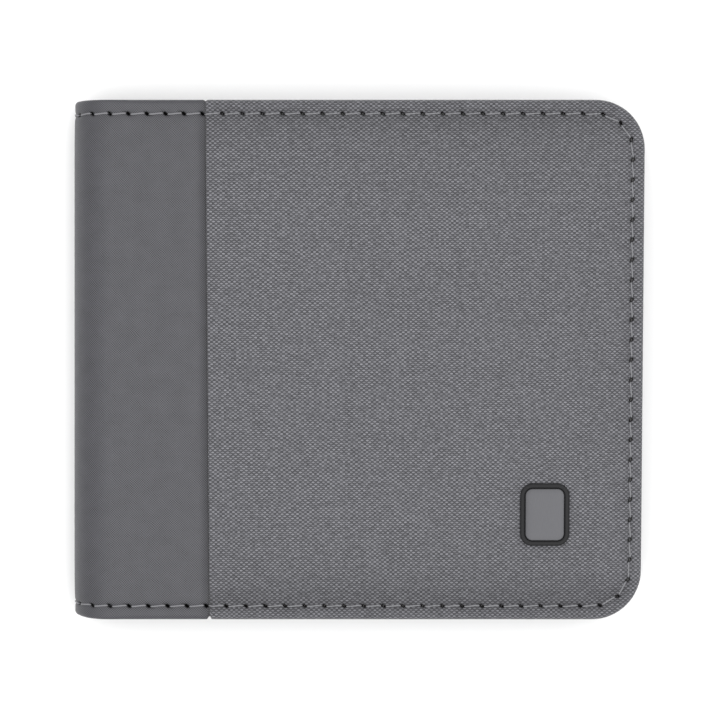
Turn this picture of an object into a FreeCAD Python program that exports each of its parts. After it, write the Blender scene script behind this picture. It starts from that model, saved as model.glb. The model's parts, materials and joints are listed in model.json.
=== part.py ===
"""A bifold wallet: two padded fabric covers joined by a coated trim that wraps the fold.

Frame: the closed wallet lies on its back cover. The origin is under its middle, +X runs from the
fold to the free edge, +Y from the sewn bottom to the open top of the note pocket, and +Z out of
the front cover. Lengths are in millimetres and angles in degrees.

Each cover is a stack of sheets counted from its outer face inwards. The fold is a half cylinder
cut into equal strips by fold lines that lie on its outer surface, so that the wallet opens flat.
"""
import FreeCAD, Part
import math
import os
import Sketcher

DRIVING_SIZES = {
    # the outer cover
    "wallet_width": 110.0,        # fold to free edge
    "wallet_height": 100.0,       # sewn bottom to open top
    "corner_radius": 9.5,         # the two corners at the free edge
    "trim_width": 25.6,           # fold's outer side to the seam between trim and fabric
    "skin_thickness": 0.5,        # fabric panel and coated trim
    "turned_edge": 0.5,           # width of the skin's edge where it turns inwards
    "padding_thickness": 1.0,
    "padding_play": 0.3,          # between the padding and what surrounds it
    "lining_thickness": 0.3,
    # the note pocket and the inner panel
    "note_gap": 0.8,
    "panel_thickness": 0.4,
    "panel_drop": 8.0,            # open top of the cover to the inner panel's top edge
    "layer_inset": 0.4,           # inner sheets stay this far inside the cover's edge
    "seam_width": 3.0,            # the sewn strip that closes a pocket
    # the card slots
    "sheet_thickness": 0.4,
    "slot_gap": 0.5,
    "slot_setback": 8.0,          # middle of the fold to the sheets' sewn side
    "top_slot_drop": 7.6,         # inner panel's top edge to the highest sheet's top edge
    "card_height": 54.0,          # of a standard card lying across the slot
    "card_show": 6.0,             # what a card in the lowest slot stands out
    "middle_clearance": 0.4,      # each cover's last sheet to the middle of the closed wallet
    # the identity window
    "window_border": 8.0,
    "window_radius": 2.0,
    "film_thickness": 0.2,
    "film_overlap": 3.0,
    # the fold
    "fold_count": 3.0,            # fold lines over the half turn
    "fold_gap": 0.05,             # each strip's edge to its fold line
    "fold_note_gap": 0.7,         # the note pocket's gap at the fold
    "lip_length": 5.0,            # the stretch where the sheets come together towards the fold
    # the sewing
    "stitch_inset": 2.7,          # cover's edge to the row of stitches
    "stitch_pitch": 3.85,
    "stitch_length": 2.7,
    "thread_diameter": 0.28,
    "channel_width": 0.8,         # the thread lies in a pressed-in channel
    "channel_depth": 0.3,
    # the badge
    "badge_from_edge": 18.95,     # free edge to the badge's middle
    "badge_from_bottom": 20.2,
    "badge_width": 9.6,
    "badge_length": 12.0,
    "badge_radius": 2.4,
    "badge_height": 0.8,
    "badge_rim": 1.0,
    "recess_depth": 0.3,
    "face_lift": 0.1,             # the face stands out of its recess by this much
    "face_play": 0.05,
    "post_diameter": 1.0,
    "post_spacing": 6.0,
    "post_play": 0.1,
    "backplate_thickness": 0.3,
    "backplate_border": 1.5,      # the backplate's edge stays this far inside the badge's
    "backplate_play": 0.1,
}
BACK_SHEETS = 4
FRONT_SHEETS = 2
FULL_TURN = 360.0
HALF_TURN = 180.0
RIGHT_ANGLE = 90.0

document = FreeCAD.newDocument("BifoldWallet")
sheet = document.addObject("Spreadsheet::Sheet", "Sizes")


class Size:
    """A number together with the formula that gives it from the sheet's cells."""

    def __init__(self, number, formula=None):
        self.number = float(number)
        self.formula = formula if formula else repr(self.number)

    def __add__(self, other):
        other = as_size(other)
        return Size(self.number + other.number, f"({self.formula} + {other.formula})")

    def __sub__(self, other):
        other = as_size(other)
        return Size(self.number - other.number, f"({self.formula} - {other.formula})")

    def __mul__(self, other):
        other = as_size(other)
        return Size(self.number * other.number, f"({self.formula} * {other.formula})")

    def __truediv__(self, other):
        other = as_size(other)
        return Size(self.number / other.number, f"({self.formula} / {other.formula})")

    def __neg__(self):
        return Size(-self.number, f"(0 - {self.formula})")


def as_size(value):
    return value if isinstance(value, Size) else Size(value)


def sine(angle):
    return Size(math.sin(math.radians(angle.number)), f"sin({angle.formula})")


def cosine(angle):
    return Size(math.cos(math.radians(angle.number)), f"cos({angle.formula})")


def fill_sheet():
    """Write the driving sizes into the sheet, and give each one back as a Size."""
    cells = {}
    for row, (name, value) in enumerate(DRIVING_SIZES.items(), start=1):
        sheet.set(f"A{row}", name)
        sheet.set(f"B{row}", str(value))
        sheet.setAlias(f"B{row}", name)
        cells[name] = Size(value, f"Sizes.{name}")
    document.recompute()
    return cells


size = fill_sheet()

# Heights of the stack, from a cover's outer face inwards.
skin_top = size["skin_thickness"]
padding_top = skin_top + size["padding_thickness"]
lining_top = padding_top + size["lining_thickness"]
panel_bottom = lining_top + size["note_gap"]
panel_top = panel_bottom + size["panel_thickness"]
level_height = size["slot_gap"] + size["sheet_thickness"]
last_sheet_top = panel_top + level_height * BACK_SHEETS
cover_thickness = last_sheet_top + size["middle_clearance"]
wallet_thickness = cover_thickness * 2

# The outline of the covers.
free_edge = size["wallet_width"] / 2
top_edge = size["wallet_height"] / 2
inner_edge = free_edge - size["layer_inset"]
inner_bottom = -top_edge + size["layer_inset"]
inner_radius = size["corner_radius"] - size["layer_inset"]
seam_x = size["trim_width"] - free_edge
panel_edge = top_edge - size["panel_drop"]

# The fold: the middle of the half cylinder, its radii and its angles.
fold_radius = cover_thickness
fold_x = fold_radius - free_edge
fold_angle = Size(HALF_TURN) / size["fold_count"]
gap_angle = size["fold_gap"] / fold_radius * (HALF_TURN / math.pi)
cover_arc_angle = fold_angle / 2 - gap_angle
strip_angle = fold_angle - gap_angle * 2
fold_lining_bottom = skin_top
fold_panel_bottom = skin_top + size["lining_thickness"] + size["fold_note_gap"]
lip_end = fold_x + size["lip_length"]

# The card slots, from the bottom seam up.
slot_side = fold_x + size["slot_setback"]
bottom_seam_top = inner_bottom + size["seam_width"]
lowest_sheet_edge = bottom_seam_top + size["card_height"] - size["card_show"]
slot_step = (panel_edge - size["top_slot_drop"] - lowest_sheet_edge) / (BACK_SHEETS - 1)

# The badge on the front cover.
badge_x = free_edge - size["badge_from_edge"]
badge_y = size["badge_from_bottom"] - top_edge


class Cover:
    """One cover, drawn from its outer face inwards; the front one is turned over about X."""

    def __init__(self, name, turned):
        self.name = name
        self.turned = turned

    def place(self, piece):
        if self.turned:
            piece.Placement = FreeCAD.Placement(
                FreeCAD.Vector(0, 0, wallet_thickness.number),
                FreeCAD.Rotation(FreeCAD.Vector(1, 0, 0), HALF_TURN),
            )
            piece.setExpression("Placement.Base.z", wallet_thickness.formula)

    def span(self, low, high):
        """The same stretch of Y in this cover's own drawing."""
        return (-high, -low) if self.turned else (low, high)

    def upward(self, y):
        return -y if self.turned else y


BACK = Cover("back", turned=False)
FRONT = Cover("front", turned=True)


# ---------------------------------------------------------------------------
# Sketches and features
# ---------------------------------------------------------------------------

def new_body(name, cover=None):
    body = document.addObject("PartDesign::Body", name)
    body.Label = name
    if cover:
        cover.place(body)
    return body


def new_sketch(body, name, plane_role, offset=None):
    """A sketch on one of the body's own origin planes, moved along that plane's normal."""
    planes = [plane for plane in body.Origin.OriginFeatures if plane.Role == plane_role]
    sketch = body.newObject("Sketcher::SketchObject", f"{body.Name}_{name}")
    sketch.AttachmentSupport = [(planes[0], "")]
    sketch.MapMode = "FlatFace"
    if offset is not None:
        sketch.setExpression("AttachmentOffset.Base.z", offset.formula)
    return sketch


def locate(sketch, geometry, end, corner):
    """Hold one point of a sketch at the place that its two sizes give."""
    axes = (("DistanceX", corner[0], -2), ("DistanceY", corner[1], -1))
    for kind, value, sketch_axis in axes:
        value = as_size(value)
        if value.formula == repr(0.0):
            sketch.addConstraint(Sketcher.Constraint("PointOnObject", geometry, end, sketch_axis))
            continue
        constraint = sketch.addConstraint(Sketcher.Constraint(kind, geometry, end, value.number))
        sketch.setExpression(f"Constraints[{constraint}]", value.formula)


def arc_between(start, end, radius):
    """The short arc from start to end: a positive radius turns left, a negative one right."""
    middle = (start + end) / 2
    half_chord = (end - start) / 2
    to_centre = math.sqrt(max(radius ** 2 - half_chord.Length ** 2, 0.0))
    left = FreeCAD.Vector(-half_chord.y, half_chord.x, 0).normalize()
    centre = middle + left * math.copysign(to_centre, radius)
    circle = Part.Circle(centre, FreeCAD.Vector(0, 0, 1), abs(radius))
    angles = [math.atan2((point - centre).y, (point - centre).x) for point in (start, end)]
    if radius < 0:
        angles.reverse()
    return Part.ArcOfCircle(circle, angles[0], angles[1])


def add_outline(sketch, corners):
    """Draw one closed outline.

    A corner is (x, y), or (x, y, radius) where an arc of that radius runs on to the next corner.
    """
    points = [FreeCAD.Vector(as_size(c[0]).number, as_size(c[1]).number, 0) for c in corners]
    radii = [as_size(c[2]) if len(c) > 2 else None for c in corners]
    edges = []
    for index, radius in enumerate(radii):
        start = points[index]
        end = points[(index + 1) % len(points)]
        if radius is None:
            edges.append(sketch.addGeometry(Part.LineSegment(start, end)))
        else:
            edges.append(sketch.addGeometry(arc_between(start, end, radius.number)))
    # An arc that turns right is stored from its far end, so its two ends change places.
    turns_right = [radius is not None and radius.number < 0 for radius in radii]
    first_end = [2 if right else 1 for right in turns_right]
    last_end = [1 if right else 2 for right in turns_right]
    for index, edge in enumerate(edges):
        following = (index + 1) % len(edges)
        sketch.addConstraint(Sketcher.Constraint(
            "Coincident", edge, last_end[index], edges[following], first_end[following]))
    for index, edge in enumerate(edges):
        locate(sketch, edge, first_end[index], corners[index])
        radius = radii[index]
        if radius is not None:
            outwards = -radius if radius.number < 0 else radius
            constraint = sketch.addConstraint(Sketcher.Constraint("Radius", edge, outwards.number))
            sketch.setExpression(f"Constraints[{constraint}]", outwards.formula)


def add_circle(sketch, x, y, radius):
    centre = FreeCAD.Vector(x.number, y.number, 0)
    circle = sketch.addGeometry(Part.Circle(centre, FreeCAD.Vector(0, 0, 1), radius.number))
    locate(sketch, circle, 3, (x, y))
    constraint = sketch.addConstraint(Sketcher.Constraint("Radius", circle, radius.number))
    sketch.setExpression(f"Constraints[{constraint}]", radius.formula)


def extrude(body, kind, sketch, length, midplane=False, reversed_=False):
    """Add a Pad or a Pocket of a sketch."""
    feature = body.newObject(f"PartDesign::{kind}", f"{sketch.Name}_{kind}")
    feature.Profile = sketch
    feature.Midplane = midplane
    feature.Reversed = reversed_
    feature.setExpression("Length", length.formula)
    sketch.Visibility = False
    return feature


def pad_up(body, sketch, length):
    return extrude(body, "Pad", sketch, length)


def pocket_up(body, sketch, depth):
    """A pocket cut from the sketch towards greater heights of the body's own drawing."""
    return extrude(body, "Pocket", sketch, depth, reversed_=True)


def rectangle(x_low, x_high, y_low, y_high):
    return [(x_low, y_low), (x_high, y_low), (x_high, y_high), (x_low, y_high)]


def cover_outline(x_low, inset, y_low=None, y_high=None):
    """A sheet's outline: square towards the fold, round at the free edge.

    Where y_low or y_high is given, the sheet stops there and its corner on that side is square.
    """
    edge = free_edge - inset
    radius = size["corner_radius"] - inset
    low = y_low if y_low is not None else inset - top_edge
    high = y_high if y_high is not None else top_edge - inset
    corners = [(x_low, low)]
    if y_low is None:
        corners += [(edge - radius, low, radius), (edge, low + radius)]
    else:
        corners += [(edge, low)]
    if y_high is None:
        corners += [(edge, high - radius, radius), (edge - radius, high)]
    else:
        corners += [(edge, high)]
    return corners + [(x_low, high)]


def channel_outline(x_low):
    """The channel of the stitches along the bottom, the free edge and the top, as one band."""
    outer = size["stitch_inset"] - size["channel_width"] / 2
    inner = size["stitch_inset"] + size["channel_width"] / 2
    outward = cover_outline(x_low, outer)
    inward = cover_outline(x_low, inner)
    outer_radius = size["corner_radius"] - outer
    inside_radius = size["corner_radius"] - inner
    return [
        outward[0],
        (outward[1][0], outward[1][1], outer_radius),
        outward[2],
        (outward[3][0], outward[3][1], outer_radius),
        outward[4],
        outward[5],
        inward[5],
        (inward[4][0], inward[4][1], -inside_radius),
        (inward[3][0], inward[3][1]),
        (inward[2][0], inward[2][1], -inside_radius),
        (inward[1][0], inward[1][1]),
        inward[0],
    ]


def rounded_rectangle(x, y, half_width, half_length, radius):
    west, east = x - half_width, x + half_width
    south, north = y - half_length, y + half_length
    return [
        (west + radius, south), (east - radius, south, radius),
        (east, south + radius), (east, north - radius, radius),
        (east - radius, north), (west + radius, north, radius),
        (west, north - radius), (west, south + radius, radius),
    ]


def flat_sheet(body, name, corners, bottom, thickness):
    sketch = new_sketch(body, name, "XY_Plane", offset=bottom)
    add_outline(sketch, corners)
    return pad_up(body, sketch, thickness)


def fold_profile(fold_bottom, flat_bottom, thickness, x_high):
    """A sheet's section from x_high to the cover's own part of the fold's half cylinder.

    The sheet is at fold_bottom where the half cylinder starts and at flat_bottom at x_high.
    """
    outer_radius = fold_radius - fold_bottom
    inside_radius = outer_radius - thickness

    def end_of_arc(radius):
        x = fold_x - radius * sine(cover_arc_angle)
        return x, fold_radius - radius * cosine(cover_arc_angle)

    return [
        (fold_x, fold_bottom),
        (x_high, flat_bottom),
        (x_high, flat_bottom + thickness),
        (fold_x, fold_bottom + thickness, -inside_radius),
        end_of_arc(inside_radius),
        (*end_of_arc(outer_radius), outer_radius),
    ]


def fold_slab(body, kind, name, corners, y_low, y_high):
    """Pad or pocket a section along Y between two edges."""
    # The normal of the XZ plane points to -Y.
    middle = -(y_low + y_high) / 2
    sketch = new_sketch(body, name, "XZ_Plane", offset=middle)
    add_outline(sketch, corners)
    return extrude(body, kind, sketch, y_high - y_low, midplane=True)


# ---------------------------------------------------------------------------
# The covers
# ---------------------------------------------------------------------------

def fabric_panel(cover):
    """The woven panel: a shallow tray whose turned edges hold the padding on three sides."""
    body = new_body(f"{cover.name}_fabric_panel", cover)
    flat_sheet(body, "outside", cover_outline(seam_x, Size(0.0)), Size(0.0), lining_top)
    hollow = new_sketch(body, "hollow", "XY_Plane", offset=skin_top)
    past_the_seam = seam_x - size["seam_width"]
    add_outline(hollow, cover_outline(past_the_seam, size["turned_edge"]))
    pocket_up(body, hollow, lining_top - skin_top)
    channel = new_sketch(body, "channel", "XY_Plane")
    add_outline(channel, channel_outline(past_the_seam))
    pocket_up(body, channel, size["channel_depth"])
    return body


def trim_panel(cover):
    """The coated trim of one cover, with turned edges at the top and bottom."""
    body = new_body(f"{cover.name}_trim_panel", cover)
    flat = Size(0.0)
    profile = fold_profile(flat, flat, size["skin_thickness"], seam_x)
    fold_slab(body, "Pad", "skin", profile, -top_edge, top_edge)
    outer = top_edge - size["stitch_inset"] + size["channel_width"] / 2
    inner = outer - size["channel_width"]
    for name, low, high in (("bottom", -outer, -inner), ("top", inner, outer)):
        groove = fold_profile(flat, flat, size["channel_depth"], seam_x)
        fold_slab(body, "Pocket", f"{name}_channel", groove, low, high)
    rims = new_sketch(body, "turned_edges", "XY_Plane", offset=skin_top)
    rim_start = top_edge - size["turned_edge"]
    add_outline(rims, rectangle(lip_end, seam_x, -top_edge, -rim_start))
    add_outline(rims, rectangle(lip_end, seam_x, rim_start, top_edge))
    pad_up(body, rims, lining_top - skin_top)
    return body


def padding(cover):
    body = new_body(f"{cover.name}_padding", cover)
    inset = size["turned_edge"] + size["padding_play"]
    corners = cover_outline(lip_end + size["padding_play"], inset)
    flat_sheet(body, "pad", corners, skin_top, size["padding_thickness"])
    return body


def lining(cover):
    """The note pocket's outer wall, which comes down to the skin at the fold."""
    body = new_body(f"{cover.name}_lining", cover)
    thickness = size["lining_thickness"]
    inset = size["turned_edge"]
    edge = top_edge - inset
    profile = fold_profile(fold_lining_bottom, padding_top, thickness, lip_end)
    fold_slab(body, "Pad", "fold", profile, -edge, edge)
    flat_sheet(body, "flat", cover_outline(lip_end, inset), padding_top, thickness)
    return body


def inner_panel(cover):
    """The note pocket's inner wall, which carries the card slots."""
    body = new_body(f"{cover.name}_inner_panel", cover)
    thickness = size["panel_thickness"]
    profile = fold_profile(fold_panel_bottom, panel_bottom, thickness, lip_end)
    low, high = cover.span(inner_bottom, panel_edge)
    fold_slab(body, "Pad", "fold", profile, low, high)
    corners = pocket_sheet_outline(cover, lip_end, panel_edge)
    flat_sheet(body, "flat", corners, panel_bottom, thickness)
    return body


def pocket_sheet_outline(cover, x_low, upper_edge):
    """A sheet that reaches the sewn bottom and stops at its own straight upper edge."""
    if cover.turned:
        return cover_outline(x_low, size["layer_inset"], y_low=-upper_edge)
    return cover_outline(x_low, size["layer_inset"], y_high=upper_edge)


def sheet_bottom(level):
    """Height of the sheet at a level, which starts at 1 next to the inner panel."""
    return panel_top + level_height * level - size["sheet_thickness"]


def sheet_edge(level):
    return lowest_sheet_edge + slot_step * (BACK_SHEETS - level)


def card_sheet(cover, level):
    body = new_body(f"{cover.name}_card_sheet_{level}", cover)
    corners = pocket_sheet_outline(cover, slot_side, sheet_edge(level))
    flat_sheet(body, "sheet", corners, sheet_bottom(level), size["sheet_thickness"])
    return body


# ---------------------------------------------------------------------------
# The sewn strips that close the pockets
# ---------------------------------------------------------------------------

def bar(cover, name, x_low, x_high, y_low, y_high, z_low, z_high):
    low, high = cover.span(y_low, y_high)
    box = document.addObject("Part::Box", name)
    measures = {
        "Length": x_high - x_low, "Width": high - low, "Height": z_high - z_low,
        "Placement.Base.x": x_low, "Placement.Base.y": low, "Placement.Base.z": z_low,
    }
    for measure, value in measures.items():
        box.setExpression(measure, value.formula)
    return box


def corner_band(cover, name, z_low, z_high):
    """The sewn strip round the corner between the bottom and the free edge."""
    cylinders = []
    for part, radius in (("outer", inner_radius), ("inner", inner_radius - size["seam_width"])):
        cylinder = document.addObject("Part::Cylinder", f"{name}_{part}")
        quarter = RIGHT_ANGLE if part == "outer" else FULL_TURN
        cylinder.Angle = quarter
        first_angle = 0.0 if cover.turned else -RIGHT_ANGLE
        cylinder.Placement.Rotation = FreeCAD.Rotation(FreeCAD.Vector(0, 0, 1), first_angle)
        cylinder.setExpression("Radius", radius.formula)
        cylinder.setExpression("Height", (z_high - z_low).formula)
        cylinder.setExpression("Placement.Base.x", (inner_edge - inner_radius).formula)
        middle = cover.upward(inner_bottom + inner_radius)
        cylinder.setExpression("Placement.Base.y", middle.formula)
        cylinder.setExpression("Placement.Base.z", z_low.formula)
        cylinders.append(cylinder)
    band = document.addObject("Part::Cut", name)
    band.Base, band.Tool = cylinders
    return band


def edge_bars(cover, name, x_low, upper_edge, z_low, z_high):
    """The sewn strips along the bottom, round the corner and up the free edge."""
    straight_end = inner_edge - inner_radius
    straight_start = inner_bottom + inner_radius
    inner_side = inner_edge - size["seam_width"]
    return [
        bar(cover, f"{name}_bottom", x_low, straight_end, inner_bottom, bottom_seam_top,
            z_low, z_high),
        corner_band(cover, f"{name}_corner", z_low, z_high),
        bar(cover, f"{name}_side", inner_side, inner_edge, straight_start, upper_edge,
            z_low, z_high),
    ]


def group(cover, name, pieces):
    compound = document.addObject("Part::Compound", name)
    compound.Label = name
    compound.Links = pieces
    cover.place(compound)
    return compound


def note_pocket_seam(cover):
    name = f"{cover.name}_note_pocket_seam"
    pieces = edge_bars(cover, f"{cover.name}_note", lip_end, panel_edge, lining_top, panel_bottom)
    return group(cover, name, pieces)


def slot_bars(cover, level, z_low, z_high, with_stop):
    """The strips that close one slot: along the edges, at the fold side and under the card."""
    name = f"{cover.name}_slot_{level}"
    edge = sheet_edge(level)
    fold_side_end = slot_side + size["seam_width"]
    pieces = edge_bars(cover, name, slot_side, edge, z_low, z_high)
    pieces.append(bar(cover, f"{name}_fold_side", slot_side, fold_side_end,
                      bottom_seam_top, edge, z_low, z_high))
    if with_stop:
        stop_top = bottom_seam_top + slot_step * (BACK_SHEETS - level)
        inner_side = inner_edge - size["seam_width"]
        pieces.append(bar(cover, f"{name}_stop", fold_side_end, inner_side,
                          stop_top - size["seam_width"] / 2, stop_top, z_low, z_high))
    return pieces


def card_slot_seams(cover, levels):
    pieces = []
    for level in range(1, levels + 1):
        top = sheet_bottom(level)
        # In the lowest slot the card stands on the bottom seam itself.
        pieces += slot_bars(cover, level, top - size["slot_gap"], top, level < BACK_SHEETS)
    return pieces


# ---------------------------------------------------------------------------
# The identity window in the front cover
# ---------------------------------------------------------------------------

WINDOW_LEVEL = FRONT_SHEETS + 1
window_bottom = sheet_bottom(WINDOW_LEVEL)
window_edge = sheet_edge(WINDOW_LEVEL)


def window_opening(extra):
    """The opening's outline, made larger on all sides by extra."""
    border = size["window_border"] - extra
    middle_x = (slot_side + inner_edge) / 2
    middle_y = FRONT.upward((inner_bottom + window_edge) / 2)
    half_width = (inner_edge - slot_side) / 2 - border
    half_length = (window_edge - inner_bottom) / 2 - border
    radius = size["window_radius"] + extra
    return rounded_rectangle(middle_x, middle_y, half_width, half_length, radius)


def window_film():
    body = new_body("id_window_film", FRONT)
    corners = window_opening(size["film_overlap"])
    flat_sheet(body, "film", corners, window_bottom, size["film_thickness"])
    return body


def window_frame():
    body = new_body("id_window_frame", FRONT)
    sketch = new_sketch(body, "frame", "XY_Plane", offset=window_bottom + size["film_thickness"])
    add_outline(sketch, pocket_sheet_outline(FRONT, slot_side, window_edge))
    add_outline(sketch, window_opening(Size(0.0)))
    pad_up(body, sketch, size["sheet_thickness"])
    return body


def front_slot_seams():
    pieces = card_slot_seams(FRONT, FRONT_SHEETS)
    frame_bottom = window_bottom + size["film_thickness"]
    pieces += slot_bars(FRONT, WINDOW_LEVEL, window_bottom - size["slot_gap"], frame_bottom,
                        with_stop=False)
    return group(FRONT, "front_slot_seams", pieces)


# ---------------------------------------------------------------------------
# The fold
# ---------------------------------------------------------------------------

def fold_strip(name, number, outline, layer_bottom):
    """One strip of a layer: its section turned about the fold's middle line."""
    body = new_body(f"{name}_{number}")
    sketch = new_sketch(body, "section", "XY_Plane")
    add_outline(sketch, outline(fold_radius - layer_bottom))
    turn = body.newObject("PartDesign::Revolution", f"{body.Name}_turn")
    turn.Profile = sketch
    turn.ReferenceAxis = (sketch, ["V_Axis"])
    turn.Midplane = True
    turn.setExpression("Angle", strip_angle.formula)
    sketch.Visibility = False
    # The section points to -X, a quarter turn on from the first cover's outer face.
    direction = fold_angle * number - RIGHT_ANGLE
    body.Placement = FreeCAD.Placement(
        FreeCAD.Vector(fold_x.number, 0, fold_radius.number),
        FreeCAD.Rotation(FreeCAD.Vector(0, 1, 0), direction.number),
    )
    body.setExpression("Placement.Base.x", fold_x.formula)
    body.setExpression("Placement.Base.z", fold_radius.formula)
    body.setExpression("Placement.Rotation.Angle", direction.formula)
    return body


def layer_section(thickness, y_low, y_high):
    def outline(radius):
        return rectangle(-radius, -radius + thickness, y_low, y_high)
    return outline


def trim_section(radius):
    """The trim's section, with the two channels of the stitches in its outer side."""
    face = -radius
    floor = face + size["channel_depth"]
    inside = face + size["skin_thickness"]
    outer = top_edge - size["stitch_inset"] + size["channel_width"] / 2
    inner = outer - size["channel_width"]
    return [
        (face, -top_edge), (inside, -top_edge), (inside, top_edge), (face, top_edge),
        (face, outer), (floor, outer), (floor, inner), (face, inner),
        (face, -inner), (floor, -inner), (floor, -outer), (face, -outer),
    ]


def fold_strips(number):
    lining_edge = top_edge - size["turned_edge"]
    lining_section = layer_section(size["lining_thickness"], -lining_edge, lining_edge)
    panel_section = layer_section(size["panel_thickness"], inner_bottom, panel_edge)
    return [
        fold_strip("spine_trim", number, trim_section, Size(0.0)),
        fold_strip("spine_lining", number, lining_section, fold_lining_bottom),
        fold_strip("spine_inner_panel", number, panel_section, fold_panel_bottom),
    ]


# ---------------------------------------------------------------------------
# The stitches
# ---------------------------------------------------------------------------

def stitch_places(start, end):
    """Middles of the stitches that fit on a run, as distances from its start."""
    pitch = size["stitch_pitch"].number
    length = end - start
    count = int(length / pitch)
    margin = (length - count * pitch) / 2
    return [start + margin + pitch * (index + 0.5) for index in range(count)]


def straight_stitch(x, y, along_x):
    length = size["stitch_length"].number
    radius = size["thread_diameter"].number / 2
    direction = FreeCAD.Vector(1, 0, 0) if along_x else FreeCAD.Vector(0, 1, 0)
    floor = size["channel_depth"].number
    start = FreeCAD.Vector(x, y, floor - radius) - direction * (length / 2)
    return Part.makeCylinder(radius, length, start, direction)


def corner_stitches(side):
    """Stitches round one corner of the free edge; side is 1 for +Y and -1 for -Y."""
    line_radius = (size["corner_radius"] - size["stitch_inset"]).number
    radius = size["thread_diameter"].number / 2
    centre = FreeCAD.Vector(
        (free_edge - size["corner_radius"]).number,
        side * (top_edge - size["corner_radius"]).number,
        size["channel_depth"].number - radius,
    )
    sweep = math.degrees(size["stitch_length"].number / line_radius)
    stitches = []
    for place in stitch_places(0.0, line_radius * math.pi / 2):
        angle = side * math.degrees(place / line_radius) - sweep / 2
        stitch = Part.makeTorus(line_radius, radius, FreeCAD.Vector(), FreeCAD.Vector(0, 0, 1),
                                0, FULL_TURN, sweep)
        stitch.Placement = FreeCAD.Placement(
            centre, FreeCAD.Rotation(FreeCAD.Vector(0, 0, 1), angle))
        stitches.append(stitch)
    return stitches


def edge_stitching(cover):
    """The row of stitches along the top, the free edge and the bottom of one cover."""
    row_y = (top_edge - size["stitch_inset"]).number
    row_x = (free_edge - size["stitch_inset"]).number
    corner_x = (free_edge - size["corner_radius"]).number
    corner_y = (top_edge - size["corner_radius"]).number
    stitches = []
    for x in stitch_places(fold_x.number, corner_x):
        stitches += [straight_stitch(x, -row_y, True), straight_stitch(x, row_y, True)]
    for y in stitch_places(-corner_y, corner_y):
        stitches.append(straight_stitch(row_x, y, False))
    stitches += corner_stitches(1) + corner_stitches(-1)
    return stitching_feature(f"{cover.name}_edge_stitching", stitches, cover)


def stitching_feature(name, stitches, cover=None):
    feature = document.addObject("Part::Feature", name)
    feature.Label = name
    feature.Shape = Part.makeCompound(stitches)
    if cover:
        cover.place(feature)
    return feature


def spine_stitching(number):
    """The stitches that cross one strip of the fold, a pair near each end."""
    radius = size["thread_diameter"].number / 2
    line_radius = fold_radius.number - size["channel_depth"].number + radius
    sweep = math.degrees(size["stitch_length"].number / line_radius)
    # A turn about Y that starts along +X reaches the strip from the far side of the cylinder.
    middle = fold_angle.number * number + RIGHT_ANGLE - sweep / 2
    lay_along_y = FreeCAD.Rotation(FreeCAD.Vector(1, 0, 0), -RIGHT_ANGLE)
    stitches = []
    for side in (-1, 1):
        y = side * (top_edge - size["stitch_inset"]).number
        for offset in (-fold_angle.number / 4, fold_angle.number / 4):
            stitch = Part.makeTorus(line_radius, radius, FreeCAD.Vector(),
                                    FreeCAD.Vector(0, 0, 1), 0, FULL_TURN, sweep)
            turn = FreeCAD.Rotation(FreeCAD.Vector(0, 1, 0), middle + offset)
            stitch.Placement = FreeCAD.Placement(
                FreeCAD.Vector(fold_x.number, y, fold_radius.number), turn.multiply(lay_along_y))
            stitches.append(stitch)
    return stitching_feature(f"spine_stitching_{number}", stitches)


# ---------------------------------------------------------------------------
# The badge on the front cover
# ---------------------------------------------------------------------------

def badge_outline(inset):
    half_width = size["badge_width"] / 2 - inset
    half_length = size["badge_length"] / 2 - inset
    radius = size["badge_radius"] - inset
    return rounded_rectangle(badge_x, FRONT.upward(badge_y), half_width, half_length, radius)


def add_post_circles(sketch, radius):
    middle = FRONT.upward(badge_y)
    for offset in (-size["post_spacing"] / 2, size["post_spacing"] / 2):
        add_circle(sketch, badge_x, middle + offset, radius)


def badge_base():
    """The dark rim with a recess for the face and two posts through the fabric."""
    body = new_body("badge_base", FRONT)
    rim = new_sketch(body, "rim", "XY_Plane")
    add_outline(rim, badge_outline(Size(0.0)))
    extrude(body, "Pad", rim, size["badge_height"], reversed_=True)
    recess = new_sketch(body, "recess", "XY_Plane", offset=-size["badge_height"])
    add_outline(recess, badge_outline(size["badge_rim"]))
    pocket_up(body, recess, size["recess_depth"])
    posts = new_sketch(body, "posts", "XY_Plane")
    add_post_circles(posts, size["post_diameter"] / 2)
    pad_up(body, posts, skin_top + size["backplate_thickness"])
    return body


def badge_face():
    body = new_body("badge_face", FRONT)
    outside = -size["badge_height"] - size["face_lift"]
    sketch = new_sketch(body, "face", "XY_Plane", offset=outside)
    add_outline(sketch, badge_outline(size["badge_rim"] + size["face_play"]))
    pad_up(body, sketch, size["recess_depth"] + size["face_lift"])
    return body


def badge_backplate():
    body = new_body("badge_backplate", FRONT)
    sketch = new_sketch(body, "plate", "XY_Plane", offset=skin_top)
    add_outline(sketch, badge_outline(size["backplate_border"]))
    add_post_circles(sketch, size["post_diameter"] / 2 + size["post_play"])
    pad_up(body, sketch, size["backplate_thickness"])
    return body


def open_fabric_for_posts(body):
    sketch = new_sketch(body, "post_holes", "XY_Plane")
    add_post_circles(sketch, size["post_diameter"] / 2 + size["post_play"])
    pocket_up(body, sketch, skin_top)


def open_padding_for_backplate(body):
    sketch = new_sketch(body, "backplate_recess", "XY_Plane", offset=skin_top)
    add_outline(sketch, badge_outline(size["backplate_border"] - size["backplate_play"]))
    pocket_up(body, sketch, size["backplate_thickness"] + size["backplate_play"])


# ---------------------------------------------------------------------------
# The wallet
# ---------------------------------------------------------------------------

def build_cover(cover, sheets):
    skin = fabric_panel(cover)
    pad = padding(cover)
    pieces = [skin, trim_panel(cover), pad, lining(cover), inner_panel(cover),
              note_pocket_seam(cover), edge_stitching(cover)]
    pieces += [card_sheet(cover, level) for level in range(1, sheets + 1)]
    if cover.turned:
        open_fabric_for_posts(skin)
        open_padding_for_backplate(pad)
    return pieces


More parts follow.
